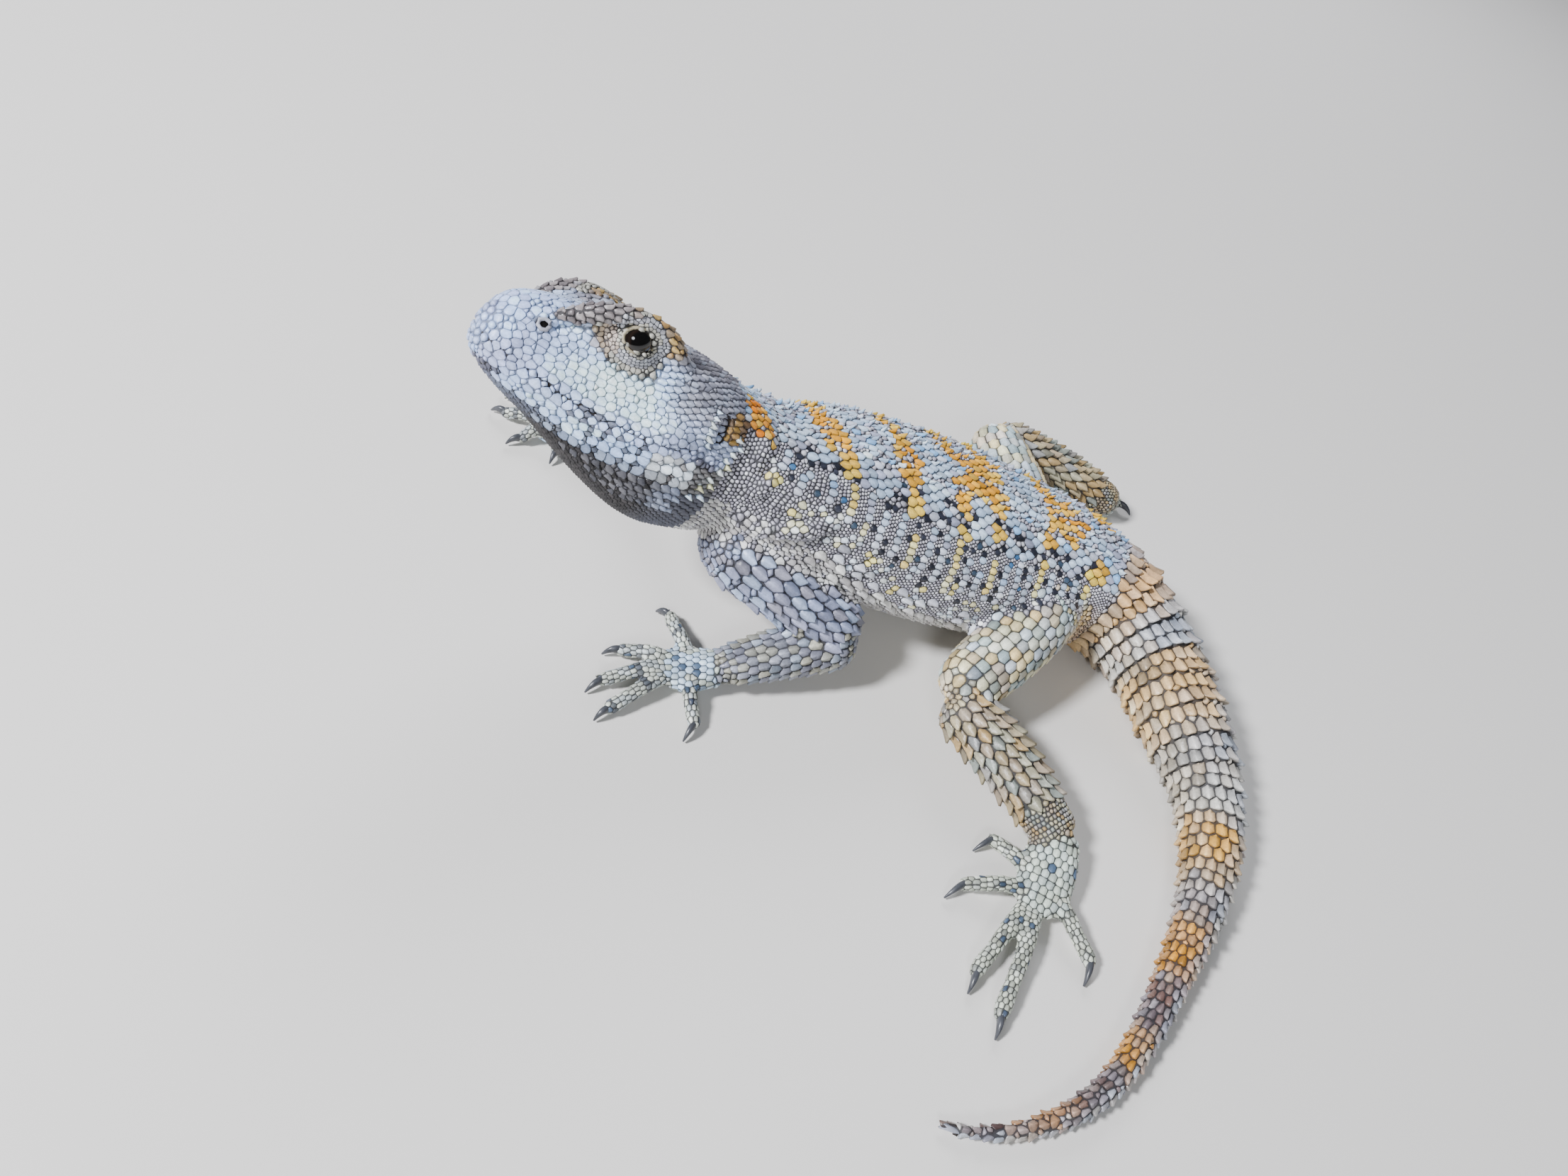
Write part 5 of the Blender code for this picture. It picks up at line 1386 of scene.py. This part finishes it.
# %% Nodes
def node(tree, kind, links=(), **settings):
    """Adds one node with its settings, and links outputs into its inputs."""
    made = tree.nodes.new("ShaderNode" + kind)
    for name, value in settings.items():
        if name in made.bl_rna.properties:
            setattr(made, name, value)
        else:
            made.inputs[name.replace("_", " ")].default_value = value
    for name, output in links:
        tree.links.new(output, made.inputs[name])
    return made


def new_material(name):
    """A material, its node tree and its one shader."""
    material = bpy.data.materials.new(name)
    material.use_nodes = True
    return material, material.node_tree, material.node_tree.nodes["Principled BSDF"]


# %% Keratin
GRAIN_MM = 0.35  # growth lines on a scale, drawn coarse enough to show
CLOUD_MM = 2.2  # slow changes from scale to scale
STREAK_MM = 0.12  # fine ridges that run back along each scale
RELIEF_MM = 0.06
SPREAD = {"From_Min": 0.3, "From_Max": 0.7}  # nearly all of a noise lies between these two


def keratin(name, roughness, grain, bump, streaked):
    """Keratin: waxy, with a fine grain that breaks up its shine, and streaks along each scale."""
    material, tree, shader = new_material(name)
    place = node(tree, "TexCoord").outputs["Object"]
    # The attribute holds each point's colour with its painted shade and highlight
    marks = node(tree, "Attribute", attribute_name="MarkingsAndPaintedShade").outputs["Color"]
    fine = node(tree, "TexNoise", [("Vector", place)], Scale=1 / (GRAIN_MM * MM), Detail=3.0).outputs["Fac"]
    broad = node(tree, "TexNoise", [("Vector", place)], Scale=1 / (CLOUD_MM * MM), Detail=2.0).outputs["Fac"]
    height = fine
    low = node(tree, "MapRange", [("Value", fine)], To_Min=1 - grain, To_Max=1 + grain, **SPREAD)
    wide = node(tree, "MapRange", [("Value", broad)], To_Min=0.86, To_Max=1.12, **SPREAD)
    amount = node(tree, "Math", [(0, low.outputs["Result"]), (1, wide.outputs["Result"])],
                  operation="MULTIPLY").outputs["Value"]
    if streaked:
        lay = node(tree, "Attribute", attribute_name="Lay").outputs["Vector"]
        stretched = node(tree, "VectorMath", [(0, lay)], operation="MULTIPLY")
        stretched.inputs[1].default_value = (0.5, 1 / STREAK_MM, 1.0)
        streak = node(tree, "TexNoise", [("Vector", stretched.outputs["Vector"])], Scale=1.0, Detail=2.0)
        streak = streak.outputs["Fac"]
        lines = node(tree, "MapRange", [("Value", streak)], To_Min=0.9, To_Max=1.08, **SPREAD)
        amount = node(tree, "Math", [(0, amount), (1, lines.outputs["Result"])],
                      operation="MULTIPLY").outputs["Value"]
        height = node(tree, "Math", [(0, fine), (1, streak)], operation="ADD").outputs["Value"]
    tint = node(tree, "VectorMath", [(0, marks), ("Scale", amount)], operation="SCALE")
    tree.links.new(tint.outputs["Vector"], shader.inputs["Base Color"])
    rough = node(tree, "MapRange", [("Value", fine)], To_Min=roughness - 0.1, To_Max=roughness + 0.12)
    tree.links.new(rough.outputs["Result"], shader.inputs["Roughness"])
    relief = node(tree, "Bump", [("Height", height)], Strength=bump, Distance=RELIEF_MM * MM)
    tree.links.new(relief.outputs["Normal"], shader.inputs["Normal"])
    return material


# Scales shine a little where they face the light, and the hide between them stays dull
scale_finish = keratin("Keratin scales", 0.33, 0.14, 0.7, True)
hide_finish = keratin("Dry reptile hide", 0.72, 0.2, 0.6, False)
print("finishes:", scale_finish.name, "and", hide_finish.name)

# %% The skin piece
vertex_place = np.array([v.co for v in skin_bm.verts])
tree = tree_of(seeds["place"])
nearest = np.array([tree.find(p)[1] for p in vertex_place])
# The hide between the scales is the nearest scale's colour darkened: partly the skin's own darker tone,
# partly painted shade in the gaps. On the face it is lighter.
hide = mix(colour[nearest] * 0.14, linear("#2c2a2e"), 0.5)
face_skin = is_in["head"][nearest]
hide[face_skin] = mix(colour[nearest] * 0.42, linear("#4a474c"), 0.3)[face_skin]
back, left, up = from_head(vertex_place)
in_ear = ear_ring(back, left, up, (EAR_HALF[0], 3.5, EAR_HALF[2])) < 1.0
# Painted shade: the ear's cup and the nostril's pit are painted near black
hide[in_ear | (from_nostril(back, left, up) < 1.15)] = linear("#1d1714")
on_face = (back > 0) & (back < 33) & (np.abs(left) > 2)
# Painted shade in the groove of the mouth
hide[on_face & (near_line(back, up, MOUTH_LINE) < 0.4)] = linear("#241e1d")
skin_bm.to_mesh(skin_mesh)
skin_bm.free()
skin_mesh.vertices.foreach_set("co", to_frame(vertex_place).astype(np.float32).ravel())
mark_points(skin_mesh, hide)
skin_mesh.update()
skin_mesh.materials.clear()
skin = finished_piece("skin", skin_mesh, hide_finish)
print("points of the skin:", len(vertex_place))
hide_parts(*[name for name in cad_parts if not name.startswith("eye_")])

# %% The scale pieces
left_side = np.cos(seeds["angle"]) > 0
limb_scale = is_in["upper"] | is_in["lower"] | is_in["foot"] | is_in["digit"]
PIECES = [
    ("back_scales", trunk & ~bead & (degrees > -14), "body_skin"),
    ("belly_scales", trunk & ~bead & (degrees <= -14), "body_skin"),
    ("flank_beads_left", trunk & bead & left_side, "body_skin"),
    ("flank_beads_right", trunk & bead & ~left_side, "body_skin"),
    ("tail_scutes", tail, "tail_skin"),
    ("head_scales", is_in["head"] | is_in["brow"] | is_in["lid"], "head_skin"),
    ("throat_scales", is_in["throat"], "head_skin"),
    ("arm_scales", limb_scale & of_arm, "limb_skin"),
    ("leg_scales", limb_scale & of_leg, "limb_skin"),
]
outside_nostril = from_nostril(head_back, head_left, head_up) > 0.95
for name, part, slot in PIECES:
    scale_piece(name, part & outside_nostril, scale_finish)


# %% [markdown]
# Eyes, lids and claws
#
# The eye is one wet ball, nearly black, with a thin brown ring where the iris ends. The rim of the
# lids is a rounded cord of skin round the window. Claws are bent cones of horn.


# %% Small pieces and their finishes
SIDES = ((1, "left"), (-1, "right"))


def piece_from(bm, name, material):
    """Makes a piece of a bmesh in the tables' frame, placed in its mesh."""
    bmesh.ops.recalc_face_normals(bm, faces=bm.faces)
    bm.transform(Matrix.Scale(MM, 4) @ Matrix.Translation(Vector(SHIFT)))
    mesh = bpy.data.meshes.new(name)
    bm.to_mesh(mesh)
    bm.free()
    return finished_piece(name, mesh, material)


def mottled(name, dark, light, grain_mm, roughness):
    """Two tones that run into each other in grains of a real size."""
    material, tree, shader = new_material(name)
    place = node(tree, "TexCoord")
    grain = node(tree, "TexNoise", [("Vector", place.outputs["Object"])], Scale=1 / (grain_mm * MM))
    tones = node(tree, "ValToRGB", [("Fac", grain.outputs["Fac"])])
    for stop, code in zip(tones.color_ramp.elements, (dark, light)):
        stop.color = (*linear(code), 1)
    tree.links.new(tones.outputs["Color"], shader.inputs["Base Color"])
    shader.inputs["Roughness"].default_value = roughness
    return material


def eye_finish(name, centre, gaze):
    """A wet eye: a black pupil in a dark brown iris under a clear coat."""
    material, tree, shader = new_material(name)
    place = node(tree, "TexCoord")
    centred = node(tree, "VectorMath", [(0, place.outputs["Object"])], operation="SUBTRACT")
    centred.inputs[1].default_value = centre
    facing = node(tree, "VectorMath", [(0, centred.outputs["Vector"])], operation="DOT_PRODUCT")
    facing.inputs[1].default_value = gaze
    front = node(tree, "MapRange", [("Value", facing.outputs["Value"])], From_Max=EYE_RADIUS * MM)
    ramp = node(tree, "ValToRGB", [("Fac", front.outputs["Result"])])
    stops = ramp.color_ramp.elements
    stops[0].position, stops[0].color = 0.60, (*linear("#1a120e"), 1)
    stops[1].position, stops[1].color = 0.90, (*linear("#060505"), 1)
    for at, code in ((0.68, "#2a1c12"), (0.76, "#120d0a"), (0.84, "#1c130e")):
        stop = stops.new(at)
        stop.color = (*linear(code), 1)
    tree.links.new(ramp.outputs["Color"], shader.inputs["Base Color"])
    shine = {"Roughness": 0.06, "Coat Weight": 0.7, "Specular IOR Level": 0.25, "Coat Roughness": 0.02}
    for key, value in shine.items():
        shader.inputs[key].default_value = value
    return material


# %% Eyes and the rims of their lids
LID_RIM = 0.3
# Moist skin: pale and soft, with highlights that are less sharp than the eye's
lid_finish = mottled("Moist lid skin", "#7f7461", "#bdb394", 0.4, 0.4)
for side, word in SIDES:
    centre = in_head(EYE[0], side * EYE[1], EYE[2])
    gaze = unit(HEAD_LEFT * side - HEAD_BACK * 0.05)
    bm = bmesh.new()
    ball(bm, centre, [EYE_RADIUS] * 3, head_axes, 48)
    eye = piece_from(bm, f"eyeball_{word}", eye_finish(f"Wet eye {word}", to_frame(centre), gaze))
    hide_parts(f"eye_{word}")
    turn = np.linspace(0, math.tau, 41)
    flat_b, flat_u = LID_OPENING[0] * 1.02 * np.cos(turn), LID_OPENING[1] * 1.02 * np.sin(turn)
    depth = np.sqrt((EYE_RADIUS + 0.12) ** 2 - flat_b**2 - flat_u**2)
    rim = in_head(EYE[0] + flat_b, side * (EYE[1] + depth), EYE[2] + flat_u)
    bm = bmesh.new()
    ridge(bm, rim, LID_RIM, 1.0, 10)
    piece_from(bm, f"lid_rim_{word}", lid_finish)
print("eye across:", 2 * EYE_RADIUS, "mm")

# %% Nostrils
NOSTRIL_HALF, NOSTRIL_RIM = (0.86, 0.8), 0.32
WELL_OUTSIDE, RIM_OUT = 3.0, 0.05
# Thick smooth skin round the hole, a little shinier than the scales beside it
nostril_finish = mottled("Swollen nostril scale", "#83808a", "#adb2be", 0.7, 0.45)
for side, word in SIDES:
    turn = np.linspace(0, math.tau, 25)
    ring_b = NOSTRIL[0] + NOSTRIL_HALF[0] * np.cos(turn)
    ring_u = NOSTRIL[2] - NOSTRIL_DROP + NOSTRIL_HALF[1] * np.sin(turn)
    far = to_skin(on_head(ring_b, ring_u, side, WELL_OUTSIDE))[2]
    rim = on_head(ring_b, ring_u, side, WELL_OUTSIDE + RIM_OUT - far)
    bm = bmesh.new()
    ridge(bm, rim, NOSTRIL_RIM, 1.0, 10)
    piece_from(bm, f"nostril_{word}", nostril_finish)
print("nostril across:", 2 * NOSTRIL_HALF[0], "mm")

# %% Claws
# Worn horn: dark and smooth, paler where it has rubbed on stone
horn = mottled("Claw horn", "#26272b", "#55575c", 1.1, 0.32)
bm = bmesh.new()
for nail in nails:
    tube(bm, nail, 0.35, 12)
piece_from(bm, "claws", horn)
print("claws:", len(nails))

# %% [markdown]
# Stage, light and camera
#
# A pale matt floor and big soft lamps keep the colours true. The camera looks down from the
# animal's left at the photograph's angle, and is rolled as far as the photograph is.

# %% Stage
FLOOR_SIZE = 3.0
bm = bmesh.new()
bmesh.ops.create_grid(bm, x_segments=1, y_segments=1, size=FLOOR_SIZE / 2)
floor_mesh = bpy.data.meshes.new("floor")
bm.to_mesh(floor_mesh)
bm.free()
floor = bpy.data.objects.new("floor", floor_mesh)
floor_material, _, floor_shader = new_material("Matt pale card")
floor_shader.inputs["Base Color"].default_value = (*linear("#d9d6d0"), 1)
floor_shader.inputs["Roughness"].default_value = 0.9
floor_mesh.materials.append(floor_material)
bpy.context.scene.collection.objects.link(floor)
floor.location.z = -0.0002
print("floor:", FLOOR_SIZE, "m")

# %% Lights
# Name, place, size, power and colour
LIGHTS = [
    ("key", (-0.64, -0.22, 0.62), 0.14, 18.5, "#f6f8ff"),
    ("fill", (0.75, -0.35, 0.35), 0.7, 1.1, "#e6efff"),
    ("back", (0.15, 0.7, 0.5), 0.4, 5.0, "#f2f5ff"),
    ("glint", (-0.12, -0.74, 0.55), 0.24, 3.0, "#f4f8ff"),
]
for name, where, size, power, code in LIGHTS:
    lamp = bpy.data.lights.new(name, "AREA")
    lamp.shape = "DISK"
    lamp.size = size
    lamp.energy = power
    lamp.color = linear(code)
    holder = bpy.data.objects.new(name, lamp)
    holder.location = where
    holder.rotation_euler = (-Vector(where)).to_track_quat("-Z", "Y").to_euler()
    holder.visible_glossy = name in ("key", "glint")  # the small lamp gives the wet eye its highlight
    bpy.context.scene.collection.objects.link(holder)
world = bpy.data.worlds.new("studio")
world.use_nodes = True
world.node_tree.nodes["Background"].inputs["Color"].default_value = (*linear("#dfe6ee"), 1)
world.node_tree.nodes["Background"].inputs["Strength"].default_value = 0.14
bpy.context.scene.world = world
print("lamps:", len(LIGHTS))

# %% Camera
CAMERA_ABOVE, CAMERA_TURN, CAMERA_ROLL = 46.0, -18.5, 24.0  # degrees
CAMERA_DISTANCE, CAMERA_TARGET = 200.0, (0.0, 0.0, 15.0)  # mm, in the tables' frame
FOCAL_PIXELS, FRAME_PIXELS = 1660.0, 2212.0
above, turn, lean = (math.radians(v) for v in (CAMERA_ABOVE, CAMERA_TURN, CAMERA_ROLL))
swing = Matrix.Rotation(turn, 3, "Z")
forward = swing @ Vector((0, math.cos(above), -math.sin(above)))
level = swing @ Vector((1, 0, 0))
upright = swing @ Vector((0, math.sin(above), math.cos(above)))
right = level * math.cos(lean) + upright * math.sin(lean)
top = upright * math.cos(lean) - level * math.sin(lean)
stand = Vector(CAMERA_TARGET) @ swing.transposed() - forward * CAMERA_DISTANCE
lens = bpy.data.cameras.new("camera")
lens.sensor_width = 36.0
lens.lens = FOCAL_PIXELS / FRAME_PIXELS * lens.sensor_width
lens.clip_start, lens.clip_end = 0.005, 10.0
camera = bpy.data.objects.new("camera", lens)
turn_matrix = Matrix((right, top, -forward)).transposed().to_4x4()
camera.matrix_world = Matrix.Translation(Vector(to_frame(stand))) @ turn_matrix
bpy.context.scene.collection.objects.link(camera)
bpy.context.scene.camera = camera
print("camera at:", [round(v / MM) for v in camera.matrix_world.translation], "mm")
